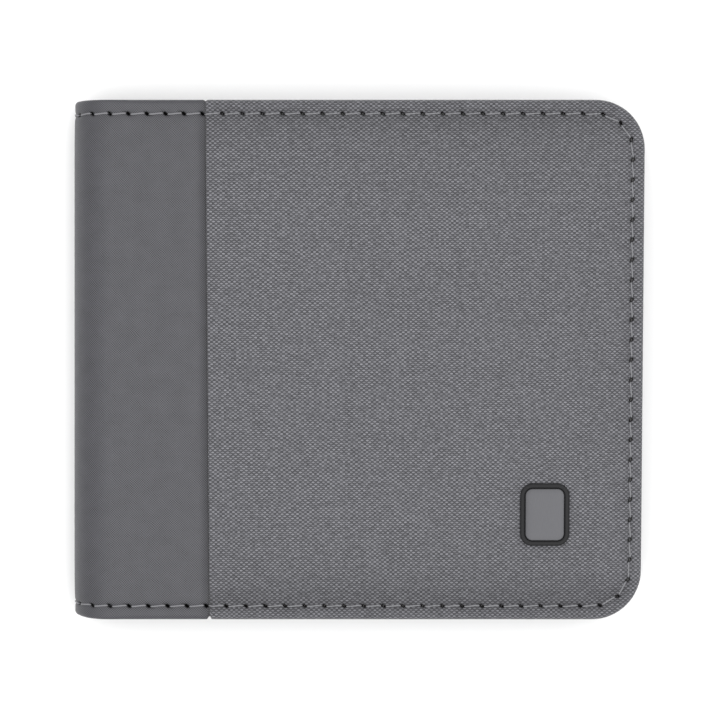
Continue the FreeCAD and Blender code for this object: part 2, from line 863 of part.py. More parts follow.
def build_wallet():
    nodes = build_cover(BACK, BACK_SHEETS)
    nodes.append(group(BACK, "back_slot_seams", card_slot_seams(BACK, BACK_SHEETS)))
    for number in range(1, int(size["fold_count"].number)):
        nodes += fold_strips(number)
        nodes.append(spine_stitching(number))
    nodes += build_cover(FRONT, FRONT_SHEETS)
    nodes += [window_film(), window_frame(), front_slot_seams()]
    nodes += [badge_base(), badge_face(), badge_backplate()]
    return nodes


def check(nodes):
    """Stop if any object failed or any node has no sound shape."""
    for item in document.Objects:
        if "Invalid" in item.State or "Error" in item.State:
            raise RuntimeError(f"{item.Label} failed: {item.State}")
    for node in nodes:
        if node.Shape.isNull() or not node.Shape.isValid() or not node.Shape.Solids:
            raise RuntimeError(f"{node.Label} has no valid solid")


wallet_nodes = build_wallet()
document.recompute()
check(wallet_nodes)
os.makedirs("parts", exist_ok=True)
for wallet_node in wallet_nodes:
    wallet_node.Shape.exportStep(f"parts/{wallet_node.Label}.step")
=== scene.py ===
"""The looks of a closed bifold wallet: woven covers, coated trim, stitches, linings and card slots.

Every sheet is cut in a flat pattern and then laid on its cover. A place on a cover is (x, y,
depth) in millimetres: depth counts inwards from the cover's outer face, and x below FOLD_X runs
on round the half cylinder of the fold. to_space() turns such places into the row frame.
"""
import json
import math

import bmesh
import bpy
import numpy as np
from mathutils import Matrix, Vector, geometry

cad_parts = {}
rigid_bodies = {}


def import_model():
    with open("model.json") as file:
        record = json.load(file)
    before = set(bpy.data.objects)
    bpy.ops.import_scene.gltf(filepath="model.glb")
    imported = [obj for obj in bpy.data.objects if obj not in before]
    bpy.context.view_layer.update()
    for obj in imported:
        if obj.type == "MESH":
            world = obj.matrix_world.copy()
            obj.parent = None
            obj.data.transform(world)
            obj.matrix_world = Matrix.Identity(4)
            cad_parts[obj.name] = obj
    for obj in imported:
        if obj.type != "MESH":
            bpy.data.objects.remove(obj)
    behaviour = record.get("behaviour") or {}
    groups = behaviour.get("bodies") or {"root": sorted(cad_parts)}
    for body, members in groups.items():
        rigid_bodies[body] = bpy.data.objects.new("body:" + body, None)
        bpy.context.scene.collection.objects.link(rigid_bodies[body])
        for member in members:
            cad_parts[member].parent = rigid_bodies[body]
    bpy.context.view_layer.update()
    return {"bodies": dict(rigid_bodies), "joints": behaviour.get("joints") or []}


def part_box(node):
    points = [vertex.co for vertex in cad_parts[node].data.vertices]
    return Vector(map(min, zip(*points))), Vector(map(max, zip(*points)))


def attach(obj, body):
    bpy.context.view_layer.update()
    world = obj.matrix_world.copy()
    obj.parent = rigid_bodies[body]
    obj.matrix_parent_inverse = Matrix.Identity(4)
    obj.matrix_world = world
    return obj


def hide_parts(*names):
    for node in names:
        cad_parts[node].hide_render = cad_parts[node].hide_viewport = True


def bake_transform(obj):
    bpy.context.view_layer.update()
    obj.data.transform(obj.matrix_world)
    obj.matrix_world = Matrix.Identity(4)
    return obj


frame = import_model()

MM = 0.001


# ---- Sizes, in millimetres ----

def box_mm(node):
    low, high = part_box(node)
    return np.array(low) / MM, np.array(high) / MM


skin_low, skin_high = box_mm("front_fabric_panel")
EDGE, TOP, THICKNESS = skin_high           # free edge, open top, the closed wallet's thickness
SEAM = skin_low[0]                         # the seam between trim and fabric
RADIUS = THICKNESS / 2
FOLD_X = box_mm("spine_trim_2")[0][0] + RADIUS
FOLD_STEP = math.radians(next(j for j in frame["joints"] if j["name"] == "cover_fold")["range_deg"][1])
STRIPS = sum(body.startswith("fold_strip") for body in frame["bodies"])
EDGE_DEPTH = box_mm("back_fabric_panel")[1][2]
LIP_END = box_mm("back_note_pocket_seam")[0][0]
PANEL_THICKNESS = 0.4
PANEL_DEPTH = box_mm("back_inner_panel")[1][2] - PANEL_THICKNESS
PANEL_EDGE = box_mm("back_inner_panel")[1][1]
INNER_INSET = EDGE - box_mm("back_inner_panel")[1][0]
SLOT_SIDE = box_mm("back_card_sheet_1")[0][0]
PAD_DEPTH = box_mm("back_padding")[1][2]
FOLD_LINING_DEPTH = RADIUS - FOLD_X + box_mm("spine_lining_2")[0][0]
FOLD_PANEL_DEPTH = RADIUS - FOLD_X + box_mm("spine_inner_panel_2")[0][0]

badge_low, badge_high = box_mm("badge_base")
BADGE_X, BADGE_Y, _ = (badge_low + badge_high) / 2
BADGE_HALF_WIDTH, BADGE_HALF_LENGTH, _ = (badge_high - badge_low) / 2
BADGE_RADIUS = 2.4
BADGE_RIM = 1.0
BADGE_HEIGHT = badge_high[2] - THICKNESS

CORNER = 9.5
SKIN_THICKNESS = 0.3                       # of the fabric and of the trim
LINING_THICKNESS = 0.3
FILM_THICKNESS = 0.12
FLANGE = 4.3                               # how far the turned edge reaches back inwards
ROLL = EDGE_DEPTH / 2                      # radius of the turned edge
FOLD_ROLL = 0.56                           # its height where it goes round the fold
FRONT_CROWN = 1.6                          # the front's padding, above its hem
CROWN_SOFTNESS = 4.2                       # over this length the padding rises beside the row
TRIM_CROWN = 0.14
HOLE_DEPTH = 0.34
ROW_TOP, ROW_SIDE, ROW_BOTTOM = 2.7, 2.3, 2.6    # edge to the row of stitches
TRIM_PITCHES = 6                           # stitches between the fold and the seam
PITCH = 3.86
HEM_PITCH = 3.2
FREE_LEAN = 0.9                            # the free edge comes in by this much at the bottom
SEAM_LEAN = 0.8                            # and the seam goes out
SEAM_SHIFT = 0.25                          # the seam as sewn, nearer the fold than planned

BACK_SHEETS = [f"back_card_sheet_{level}" for level in range(1, 5)]
FRONT_SHEETS = ["front_card_sheet_1", "front_card_sheet_2"]
COVERS = {                                 # whether it is turned over, its card sheets, its layers
    "back": (False, BACK_SHEETS, BACK_SHEETS),
    "front": (True, FRONT_SHEETS, FRONT_SHEETS + ["id_window_frame"]),
}


# ---- From the flat pattern to space ----

class Outline:
    """A rectangle with two round corners at +X that runs on without end to -X."""

    def __init__(self, right, bottom, top, radius):
        self.right = right
        self.bottom = bottom
        self.top = top
        self.radius = radius

    def inset(self, x, y):
        """Distance inside the outline and the inward direction, for arrays of points."""
        middle = (self.top + self.bottom) / 2
        half = (self.top - self.bottom) / 2
        side = np.where(y >= middle, 1.0, -1.0)
        over_x = x - (self.right - self.radius)
        over_y = np.abs(y - middle) - (half - self.radius)
        corner = (over_x > 0) & (over_y > 0)
        reach = np.hypot(over_x, over_y)
        safe = np.maximum(reach, 1e-9)
        along_x = over_x > over_y
        depth = self.radius - np.where(corner, reach, np.maximum(over_x, over_y))
        nx = np.where(corner, -over_x / safe, np.where(along_x, -1.0, 0.0))
        ny = np.where(corner, -side * over_y / safe, np.where(along_x, 0.0, -side))
        return depth, nx, ny

    def path(self, inset, x_start, x_end):
        """The way from (x_start, top) round the free edge to (x_end, bottom), run by run."""
        radius = self.radius - inset
        turn_x = self.right - self.radius
        upper, lower = self.top - self.radius, self.bottom + self.radius
        return [
            ("line", (x_start, self.top - inset), (turn_x, self.top - inset)),
            ("arc", (turn_x, upper), radius, 90.0, 0.0),
            ("line", (self.right - inset, upper), (self.right - inset, lower)),
            ("arc", (turn_x, lower), radius, 0.0, -90.0),
            ("line", (turn_x, self.bottom + inset), (x_end, self.bottom + inset)),
        ]


def run_length(run):
    if run[0] == "line":
        return math.dist(run[1], run[2])
    return abs(math.radians(run[4] - run[3])) * run[2]


def run_points(run, count):
    """Points on a run without its last one."""
    share = np.arange(count)[:, None] / count
    if run[0] == "line":
        return np.array(run[1]) * (1 - share) + np.array(run[2]) * share
    angle = np.radians(run[3] + (run[4] - run[3]) * share[:, 0])
    return np.column_stack([np.cos(angle), np.sin(angle)]) * run[2] + np.array(run[1])


def step_counts(path, step):
    return [max(2, int(run_length(run) / step)) for run in path]


def path_points(path, counts):
    """Points along a path, with the given number of steps on each run."""
    parts = [run_points(run, count) for run, count in zip(path, counts)]
    return np.vstack(parts + [np.array([path[-1][2]])])


def path_steps(path, step):
    return path_points(path, step_counts(path, step))


def even_points(path, count):
    """Points at equal distances along a path, ends included."""
    fine = path_steps(path, 0.05)
    steps = np.hypot(*np.diff(fine, axis=0).T)
    along = np.concatenate([[0.0], np.cumsum(steps)])
    wanted = np.linspace(0.0, along[-1], count + 1)
    return np.column_stack([np.interp(wanted, along, fine[:, axis]) for axis in (0, 1)])


def stations(low, high, step):
    return np.linspace(low, high, max(2, int(round((high - low) / step))) + 1)


COVER = Outline(EDGE, -TOP, TOP, CORNER)
ROW = Outline(EDGE - ROW_SIDE, -TOP + ROW_BOTTOM, TOP - ROW_TOP, CORNER - ROW_SIDE)


def smooth(value):
    value = np.clip(value, 0.0, 1.0)
    return value * value * (3 - 2 * value)


def off_fold(x):
    """0 where a sheet goes round the fold, 1 where it lies flat."""
    return smooth((x - FOLD_X) / (LIP_END - FOLD_X))


def roll_height(x):
    """Half the height of the turned edge, which is lower round the fold."""
    return FOLD_ROLL + (ROLL - FOLD_ROLL) * off_fold(x)


def lean(x, y):
    """The slight slant of the seam and the free edge, which grows towards the bottom."""
    low = 0.5 - y / (2 * TOP)
    at_seam = SEAM_LEAN * low - SEAM_SHIFT
    to_seam = np.clip((x - FOLD_X) / (SEAM - FOLD_X), 0.0, 1.0)
    to_edge = np.clip((x - SEAM) / (EDGE - SEAM), 0.0, 1.0)
    return at_seam * to_seam - (at_seam + FREE_LEAN * low) * to_edge


def pull_in(x, y):
    """How far the sewn ends come in at the outside of the fold and where the seam ends."""
    round_fold = np.clip((FOLD_X - x) / RADIUS, 0.0, math.pi)
    ends = np.where(y > 0, 0.2, 0.8) * np.sin(round_fold) ** 3 * np.abs(y / TOP) ** 5
    notch = np.where(y > 0, 0.25, 0.85) * np.exp(-((x - SEAM) / 0.24) ** 2) * np.abs(y / TOP) ** 30
    return -np.sign(y) * (ends + notch)


def to_space(x, y, depth, turned):
    """Places on a cover as points of the row frame, in metres."""
    x, y, depth = np.broadcast_arrays(*(np.asarray(a, float) for a in (x, y, depth)))
    angle = np.maximum((FOLD_X - x) / RADIUS, 0.0)
    flat_x = np.maximum(x, FOLD_X)
    space_x = flat_x - (RADIUS - depth) * np.sin(angle) + lean(flat_x, y)
    space_z = RADIUS - (RADIUS - depth) * np.cos(angle)
    if turned:
        space_z = THICKNESS - space_z
    return np.column_stack([space_x, y + pull_in(x, y), space_z]) * MM


# ---- Needle holes and the rise of the outer skin ----

FOLD_STEP_X = RADIUS * FOLD_STEP                 # from one strip's middle to the next
HINGE_X = FOLD_X - FOLD_STEP_X / 2               # the first fold line, on the outer face
SEAM_HOLE = SEAM - 0.6                           # a hole falls just beside the seam


def cover_holes():
    """Needle holes of one cover from the first fold line at the top to the one at the bottom."""
    whole = ROW.path(0.0, SEAM_HOLE, SEAM_HOLE)
    count = round(sum(run_length(run) for run in whole) / PITCH)
    trim_x = np.linspace(HINGE_X, SEAM_HOLE, TRIM_PITCHES + 1)[:-1]
    upper = np.column_stack([trim_x, np.full(TRIM_PITCHES, ROW.top)])
    lower = np.column_stack([trim_x[::-1], np.full(TRIM_PITCHES, ROW.bottom)])
    return np.vstack([upper, even_points(whole, count), lower])


HOLES = cover_holes()
STRIP_HOLES = np.array([
    (FOLD_X - FOLD_STEP_X * half / 2, y)
    for half in range(1, 2 * STRIPS + 2) for y in (ROW.top, ROW.bottom)
])
ALL_HOLES = np.vstack([HOLES, STRIP_HOLES])


def nearest_hole(x, y):
    """Offsets to the nearest needle hole, along its row and across it."""
    gap_x = x[:, None] - ALL_HOLES[None, :, 0]
    gap_y = y[:, None] - ALL_HOLES[None, :, 1]
    index = np.argmin(gap_x ** 2 + gap_y ** 2, axis=1)
    chosen = np.arange(len(x))
    gap_x, gap_y = gap_x[chosen, index], gap_y[chosen, index]
    _, normal_x, normal_y = ROW.inset(ALL_HOLES[index, 0], ALL_HOLES[index, 1] * 0.9999)
    return gap_x * normal_y - gap_y * normal_x, gap_x * normal_x + gap_y * normal_y


def hole_shape(x, y):
    """1 in the middle of a needle hole, which is a slanted ellipse, and 0 outside."""
    along, across = nearest_hole(x, y)
    slanted = across + 0.35 * along
    return np.exp(-(along / 0.4) ** 2 - (slanted / 0.3) ** 2)


def badge_distance(x, y):
    """Distance outside the badge's outline, and 0 on it."""
    over_x = np.abs(x - BADGE_X) - (BADGE_HALF_WIDTH - BADGE_RADIUS)
    over_y = np.abs(y - BADGE_Y) - (BADGE_HALF_LENGTH - BADGE_RADIUS)
    reach = np.hypot(np.maximum(over_x, 0.0), np.maximum(over_y, 0.0))
    return np.maximum(reach - BADGE_RADIUS, 0.0)


def row_dip(x, y, width):
    """1 on the row of stitches; it is deepest at the needle holes."""
    from_row, _, _ = ROW.inset(x, y)
    along, _ = nearest_hole(x, y)
    near_hole = np.exp(-(along / 0.8) ** 2)
    return np.exp(-(from_row / width) ** 2) * (0.62 + 0.38 * near_hole)


def fabric_rise(x, y, turned):
    """Height of the fabric over the cover's outer plane."""
    front = 1.0 if turned else 0.0
    from_row, _, _ = ROW.inset(x, y)
    along, _ = nearest_hole(x, y)
    from_seam = np.maximum(x - SEAM, 0.0)
    soft = 1 - np.exp(-np.maximum(from_row, 0.0) / CROWN_SOFTNESS)
    beside_seam = 0.4 + 0.6 * (1 - np.exp(-from_seam / 3.5))
    crown = FRONT_CROWN * front * soft * beside_seam
    between_holes = 1 - np.exp(-(along / 1.1) ** 2)
    pillow = 0.07 * np.exp(-((from_row - 1.3) / 0.7) ** 2) * between_holes
    hem = 0.12 * front + 0.05 * np.exp(-((from_row + 1.2) / 0.6) ** 2)
    turn = np.clip(1 - from_seam / 0.3, 0.0, 1.0)
    seam_turn = 0.35 * (1 - np.sqrt(1 - turn ** 2))
    pressed_dip_and_painted_shade = 0.3 * front * np.exp(-(badge_distance(x, y) / 1.1) ** 2)
    return crown + pillow + hem - pressed_dip_and_painted_shade - 0.34 * row_dip(x, y, 0.62) - seam_turn


def trim_rise(x, y, turned):
    """Height of the trim over the cover's outer plane."""
    from_row, _, _ = ROW.inset(x, y)
    soft = 1 - np.exp(-np.maximum(from_row, 0.0) / 2.0)
    over_fold = 1.0 if turned else np.clip(1 - (x - FOLD_X) / 4.0, 0.0, 1.0)
    at_seam = np.exp(-(np.minimum(x - SEAM, 0.0) / 1.3) ** 2) * (x > FOLD_X)
    return TRIM_CROWN * soft * over_fold - 0.2 * row_dip(x, y, 0.5) - 0.5 * at_seam


# ---- Meshes ----

def inside(points, loop):
    """Whether points lie inside a closed loop."""
    x, y = points[:, 0][:, None], points[:, 1][:, None]
    start, end = loop, np.roll(loop, -1, axis=0)
    crosses = (start[:, 1] > y) != (end[:, 1] > y)
    rise = end[:, 1] - start[:, 1]
    rise = np.where(np.abs(rise) < 1e-12, 1e-12, rise)
    at_x = start[:, 0] + (y - start[:, 1]) * (end[:, 0] - start[:, 0]) / rise
    return (np.sum(crosses & (x < at_x), axis=1) % 2) == 1


def edge_distance(points, loops, block=4000):
    """Distance from points to the nearest side of closed loops, worked out block by block."""
    best = np.full(len(points), np.inf)
    for loop in loops:
        side = np.roll(loop, -1, axis=0) - loop
        length = np.maximum(np.sum(side ** 2, axis=1), 1e-12)
        for first in range(0, len(points), block):
            some = points[first:first + block, None, :] - loop[None, :, :]
            share = np.clip(np.sum(some * side, axis=2) / length, 0.0, 1.0)
            gap = np.linalg.norm(some - share[:, :, None] * side, axis=2).min(axis=1)
            best[first:first + block] = np.minimum(best[first:first + block], gap)
    return best


def within(points, loops, margin):
    """The points inside the first loop and outside the others, away from all their sides."""
    keep = inside(points, loops[0]) & (edge_distance(points, loops) > margin)
    for hole in loops[1:]:
        keep &= ~inside(points, hole)
    return points[keep]


def triangulate(points, loops):
    """Points with those of the loops, and triangles inside the first loop, outside the others."""
    faces, first = [], 0
    for loop in loops:
        faces.append(list(range(first, first + len(loop))))
        first += len(loop)
    vertices = [Vector((float(p[0]), float(p[1]))) for p in np.vstack(loops + [points])]
    made = geometry.delaunay_2d_cdt(vertices, [], faces, 1, 1e-4)
    flat = np.array([(v.x, v.y) for v in made[0]])
    triangles = np.array([list(face) for face in made[2] if len(face) == 3])
    for hole in loops[1:]:
        triangles = triangles[~inside(flat[triangles].mean(axis=1), hole)]
    return flat, triangles


def boundary_edges(triangles):
    """Sides that only one triangle has, in that triangle's direction."""
    sides = np.vstack([triangles[:, [0, 1]], triangles[:, [1, 2]], triangles[:, [2, 0]]])
    _, index, counts = np.unique(np.sort(sides, axis=1), axis=0, return_index=True, return_counts=True)
    return sides[index[counts == 1]]


def new_piece(name, vertices, faces, material, attributes=None, sharp=40.0):
    """A mesh object with smooth shading, its faces turned outwards."""
    mesh = bpy.data.meshes.new(name)
    mesh.from_pydata(vertices.tolist(), [], [list(map(int, face)) for face in faces])
    for key, values in (attributes or {}).items():
        kind, field = ("FLOAT_VECTOR", "vector") if values.ndim == 2 else ("FLOAT", "value")
        layer = mesh.attributes.new(key, kind, "POINT")
        layer.data.foreach_set(field, values.astype(np.float32).ravel())
    shaped = bmesh.new()
    shaped.from_mesh(mesh)
    bmesh.ops.recalc_face_normals(shaped, faces=shaped.faces)
    shaped.to_mesh(mesh)
    shaped.free()
    mesh.shade_smooth()
    mesh.set_sharp_from_angle(angle=math.radians(sharp))
    mesh.materials.append(material)
    piece = bpy.data.objects.new(name, mesh)
    bpy.context.scene.collection.objects.link(piece)
    return piece


def solid_sheet(name, flat, triangles, outer, inner, material, dark=None):
    """A closed sheet from its two faces, which share one triangulation of the pattern."""
    count = len(flat)
    rim = boundary_edges(triangles)
    walls = np.column_stack([rim[:, 0], rim[:, 1], rim[:, 1] + count, rim[:, 0] + count])
    faces = [*triangles, *(triangles[:, ::-1] + count), *walls]
    pattern = np.column_stack([flat, np.zeros(count)])
    # dark is painted shade: black in the needle holes, darker along the rows of stitches and in the
    # seam's groove.
    shade = np.zeros(count) if dark is None else dark
    attributes = {"flat": np.vstack([pattern, pattern]), "dark": np.concatenate([shade, shade])}
    return new_piece(name, np.vstack([outer, inner]), faces, material, attributes)


def cross_points(xs, ys):
    return np.array([(x, y) for x in xs for y in ys])


def grid_points(low, high, step):
    counts = [max(2, int((high[axis] - low[axis]) / step)) for axis in (0, 1)]
    return cross_points(*(np.linspace(low[axis], high[axis], counts[axis] + 1)[1:-1] for axis in (0, 1)))


def lattice(xs, ys):
    """A rectangle's inner lattice points and its boundary as a closed loop."""
    loop = np.array(
        [(x, ys[0]) for x in xs[:-1]] + [(xs[-1], y) for y in ys[:-1]]
        + [(x, ys[-1]) for x in xs[:0:-1]] + [(xs[0], y) for y in ys[:0:-1]]
    )
    return cross_points(xs[1:-1], ys[1:-1]), loop


def hole_detail(holes):
    """Points that give the needle holes their shape."""
    rings = [(0.0, 1), (0.12, 6), (0.24, 8), (0.38, 10), (0.54, 12)]
    offsets = [
        (radius * math.cos(2 * math.pi * step / count), radius * math.sin(2 * math.pi * step / count))
        for radius, count in rings for step in range(count)
    ]
    return (holes[:, None, :] + np.array(offsets)[None, :, :]).reshape(-1, 2)


def near_edge(loop, levels, outside=False):
    """Points beside a loop at the given distances inside it, or outside it."""
    ahead, behind = np.roll(loop, -1, axis=0), np.roll(loop, 1, axis=0)
    run = ahead - behind
    normal = np.column_stack([-run[:, 1], run[:, 0]])
    normal /= np.maximum(np.linalg.norm(normal, axis=1), 1e-9)[:, None]
    area = np.sum(loop[:, 0] * ahead[:, 1] - ahead[:, 0] * loop[:, 1])
    normal *= math.copysign(1.0, area)
    if outside:
        return np.vstack([loop - normal * level for level in levels])
    return np.vstack([within(loop + normal * level, [loop], level * 0.97) for level in levels])


def round_corners(low, high, radius, steps):
    """The corners of a rounded rectangle as points, counterclockwise."""
    centres = [(high[0] - radius, high[1] - radius), (low[0] + radius, high[1] - radius),
               (low[0] + radius, low[1] + radius), (high[0] - radius, low[1] + radius)]
    angles = np.radians(90.0 * np.arange(4)[:, None] + 90.0 * np.arange(steps + 1) / steps)
    offsets = np.stack([np.cos(angles), np.sin(angles)], axis=-1) * radius
    return (np.array(centres)[:, None, :] + offsets).reshape(-1, 2)


def rounded_loop(low, high, radius):
    """A rounded rectangle with points along its sides too."""
    corners = round_corners(low, high, radius, max(4, int(radius * math.pi / 2 / 0.5)))
    dense = []
    for first, second in zip(corners, np.roll(corners, -1, axis=0)):
        count = max(1, int(math.dist(first, second) / 1.2))
        dense += [first + (second - first) * (number / count) for number in range(count)]
    return np.array(dense)


# ---- The outer skin: fabric panels and trim, with edges turned inwards ----

FLANGE_END = ROLL - math.pi * ROLL - FLANGE
ROLL_LEVELS = [ROLL - ROLL * math.radians(angle) for angle in range(180, 0, -20)]
FLANGE_LEVELS = [FLANGE_END + 0.08, FLANGE_END + 1.4, FLANGE_END + 2.8]
FLAT_LEVELS = [0.9, 1.25, 1.6, 1.9, 2.12, 2.34, 2.56, 2.78, 3.0, 3.3, 3.7, 4.2, 4.9, 5.8, 7.0]
SKIN_LEVELS = [FLANGE_END] + FLANGE_LEVELS + ROLL_LEVELS + FLAT_LEVELS

SEAM_SHADE = 0.4                           # painted shade on the trim in the seam's groove
PAINTED_SHADE_ABOVE = 0.26                       # painted shade on the skin along the upper row,
PAINTED_SHADE_BELOW = 0.32                       # along the lower row,
PAINTED_SHADE_BESIDE = 0.06                      # and along the row at the free edge
TRIM_SHADE_SHARE = 0.35                        # the share of that painted shade on the trim
HOLE_EDGE = 0.07                           # the pit's depth share from which a needle hole is painted black as its shade


def lay_skin(points, inside_by, rise, turned, tuck):
    """Places of pattern points on the cover; beyond the edge they go round it and back inwards.

    inside_by is how far below the skin's face the wanted surface lies, and tuck how far the
    turned-in part goes down beside the seam to lie under the fabric's.
    """
    virtual, normal_x, normal_y = COVER.inset(points[:, 0], points[:, 1])
    angle = np.clip((ROLL - virtual) / ROLL, 0.0, math.pi)
    onward = np.maximum(virtual - ROLL, 0.0)
    back = np.maximum(ROLL - math.pi * ROLL - virtual, 0.0)
    inset = ROLL - (ROLL - inside_by) * np.sin(angle) + onward + back
    height = roll_height(points[:, 0])
    depth = height - (height - inside_by) * np.cos(angle)
    shift = inset - virtual
    x = points[:, 0] + normal_x * shift
    y = points[:, 1] + normal_y * shift
    facing_out = np.maximum(np.cos(angle), 0.0)
    facing_in = np.maximum(-np.cos(angle), 0.0)
    pit = hole_shape(x, y) * (angle <= 0)
    depth = depth - rise(x, y, turned) * facing_out + HOLE_DEPTH * pit
    depth = depth - tuck * facing_in * smooth((x - SEAM + 1.0) / 0.9)
    return x, y, depth, skin_shade(x, y, pit, bool(tuck))


def skin_shade(x, y, pit, is_trim):
    """Painted shade on the skin: black in the needle holes, darker along the rows of stitches, more
    along the lower row than the upper one, and on the trim darker in the seam's groove.
    """
    from_row, _, inward_y = ROW.inset(x, y)
    # Painted shade along the rows of stitches, stronger along the lower row.
    amount = np.where(inward_y < 0, PAINTED_SHADE_ABOVE, PAINTED_SHADE_BELOW) * np.abs(inward_y)
    amount = amount + PAINTED_SHADE_BESIDE * (1 - np.abs(inward_y))
    fading = np.where(from_row > 0, np.exp(-from_row / 5.0), np.exp(from_row / 1.8))
    pressed_dip_and_painted_shade = amount * fading * (TRIM_SHADE_SHARE if is_trim else 1.0)
    if is_trim:
        # Painted shade in the seam's groove.
        pressed_dip_and_painted_shade = pressed_dip_and_painted_shade + SEAM_SHADE * np.exp(-np.maximum(SEAM - x, 0.0) / 0.45)
    # Painted black shade in the needle holes.
    black = smooth((pit - HOLE_EDGE) / 0.2)
    return np.minimum(np.maximum(black, pressed_dip_and_painted_shade), 1.0)


def skin_solid(name, points, loop, rise, turned, material, tuck=0.0):
    flat, triangles = triangulate(points, [loop])
    faces = []
    for inside_by in (0.0, SKIN_THICKNESS):
        x, y, depth, dark = lay_skin(flat, inside_by, rise, turned, tuck)
        faces.append(to_space(x, y, depth, turned))
    return solid_sheet(name, flat, triangles, faces[0], faces[1], material, dark=dark)


def fabric_panel(name, turned, material):
    """The woven panel, cut wide enough to turn in on three sides."""
    spacing = 1.6
    counts = step_counts(COVER.path(ROW_TOP, SEAM, SEAM), 0.66)
    rings = [path_points(COVER.path(level, SEAM, SEAM), counts) for level in SKIN_LEVELS]
    side_levels = TOP - np.array(SKIN_LEVELS[1:])
    between = np.arange(-side_levels[-1] + spacing, side_levels[-1], spacing)
    side_y = np.concatenate([-side_levels, between, side_levels[::-1]])
    loop = np.vstack([rings[0], np.column_stack([np.full(len(side_y), SEAM), side_y])])
    deepest = SKIN_LEVELS[-1]
    middle = grid_points((SEAM + 1.2, -TOP + deepest), (EDGE - deepest, TOP - deepest), spacing)
    distance, _, _ = COVER.inset(middle[:, 0], middle[:, 1])
    middle = middle[distance > deepest + 0.8]
    turn_points = cross_points(SEAM + np.array([0.08, 0.18, 0.3, 0.45, 0.8]), side_y)
    details = hole_detail(HOLES[HOLES[:, 0] > SEAM])
    points = np.vstack([*[ring[1:-1] for ring in rings[1:]], middle, turn_points, details])
    return skin_solid(name, points, loop, fabric_rise, turned, material)


def fold_range(number):
    """The stretch of x that piece number has over the fold, and whether it is on the front cover.

    Pieces meet at the strips' middles.
    """
    if number == STRIPS + 1:
        return FOLD_X - FOLD_STEP_X, FOLD_X, True
    return FOLD_X - FOLD_STEP_X * number, FOLD_X - FOLD_STEP_X * (number - 1), False


def is_end(number):
    """Whether a piece over the fold also has a cover's flat stretch."""
    return number in (1, STRIPS + 1)


def blend_over_fold(piece, number, deepest):
    """Work out where a piece's two ends lie at its fold line, and bake the piece's transform into its
    mesh.

    deepest is the piece's greatest depth, at which its ends are worked out.
    """
    ends = []
    for angle in (FOLD_STEP * (number - 1), FOLD_STEP * number):
        ends.append(to_space(FOLD_X - RADIUS * angle, 0.0, deepest, False)[0])
    tuple(ends[0])
    tuple(ends[1])
    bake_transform(piece)


def trim_pieces(material):
    """The coated trim round the fold, in as many pieces as there are fold lines."""
    side_y = np.array([TOP - level for level in SKIN_LEVELS])
    middle_y = np.arange(-side_y[-1] + 3.0, side_y[-1] - 1.5, 3.0)
    ys = np.concatenate([-side_y, middle_y, side_y[::-1]])
    flat_x = np.concatenate([
        FOLD_X + np.array([0.5, 1.2, 2.1]), np.arange(FOLD_X + 3.1, SEAM - 2.4, 1.1),
        SEAM + np.array([-2.2, -1.7, -1.3, -1.0, -0.7, -0.45, -0.2, 0.0, 0.5, 1.6])])
    made = []
    for number in range(1, STRIPS + 2):
        low, high, turned = fold_range(number)
        xs = stations(low, high, 0.36)
        if is_end(number):
            xs = np.concatenate([xs, flat_x])
        points, loop = lattice(xs, ys)
        holes = HOLES if is_end(number) else STRIP_HOLES
        near = holes[(holes[:, 0] > xs[0] + 0.3) & (holes[:, 0] < min(xs[-1], SEAM) - 0.3)]
        points = np.vstack([points, hole_detail(near)])
        piece = skin_solid(f"trim_{number}", points, loop, trim_rise, turned, material,
                           tuck=SKIN_THICKNESS + 0.05)
        blend_over_fold(piece, number, 2 * FOLD_ROLL + 0.05)
        made.append(piece)
    return made


# ---- Inner sheets: linings, inner panels, card sheets ----

RIM_LEVELS = [0.07, 0.2, 0.55]             # distances that give a sheet's edge its rounding
HEM_WIDTH = 4.6
HEM_STITCH = 2.4                           # hem's edge to its stitches
HEM_ROWS = [1.2, 1.8, 2.1, 2.4, 2.7, 3.1, 3.8, 4.5, 4.75, 5.0, 5.4]
BAND_WIDTH = 3.0
WINDOW_RADIUS = 2.0
WINDOW_BORDER = 8.0
WINDOW_STITCH = 1.4                        # the opening's edge to the row that holds its binding


def rounded_faces(depth, thickness, distance):
    """Depths of both faces of a sheet whose edges are rounded."""
    reach = np.clip(distance / 0.2, 0.0, 1.0)
    half = thickness / 2 * np.sqrt(np.clip(1 - (1 - reach) ** 2, 0.04, 1.0))
    return depth + thickness / 2 - half, depth + thickness / 2 + half


def sheet_loop(x_low, inset, y_high=None):
    """The outline of an inner sheet; where y_high is given, its upper side is straight."""
    path = COVER.path(inset, x_low, x_low)
    if y_high is not None:
        path = [("line", (x_low, y_high), (EDGE - inset, y_high)),
                ("line", (EDGE - inset, y_high), path[2][2]), path[3], path[4]]
    points = path_steps(path, 0.8)
    side = stations(points[-1][1], points[0][1], 0.8)[1:-1]
    return np.vstack([points, np.column_stack([np.full(len(side), x_low), side])])


def inner_sheet(name, loops, depth, thickness, turned, material, detail=None, step=2.0,
                hem=None):
    """A flat sheet with rounded edges; depth and hem are functions of its pattern's x and y."""
    grid = grid_points(loops[0].min(axis=0), loops[0].max(axis=0), step)
    sets = [within(grid, loops, 0.9), near_edge(loops[0], RIM_LEVELS)]
    sets += [near_edge(hole, RIM_LEVELS, outside=True) for hole in loops[1:]]
    if detail is not None:
        sets.append(within(detail, loops, 0.22))
    flat, triangles = triangulate(np.vstack(sets), loops)
    x, y = flat[:, 0], flat[:, 1]
    distance = edge_distance(flat, loops)
    outer_depth, inner_depth = rounded_faces(depth(x, y), thickness, distance)
    if hem is not None:
        inner_depth = inner_depth + hem(x, y)
    outer = to_space(x, y, outer_depth, turned)
    inner = to_space(x, y, inner_depth, turned)
    return solid_sheet(name, flat, triangles, outer, inner, material)


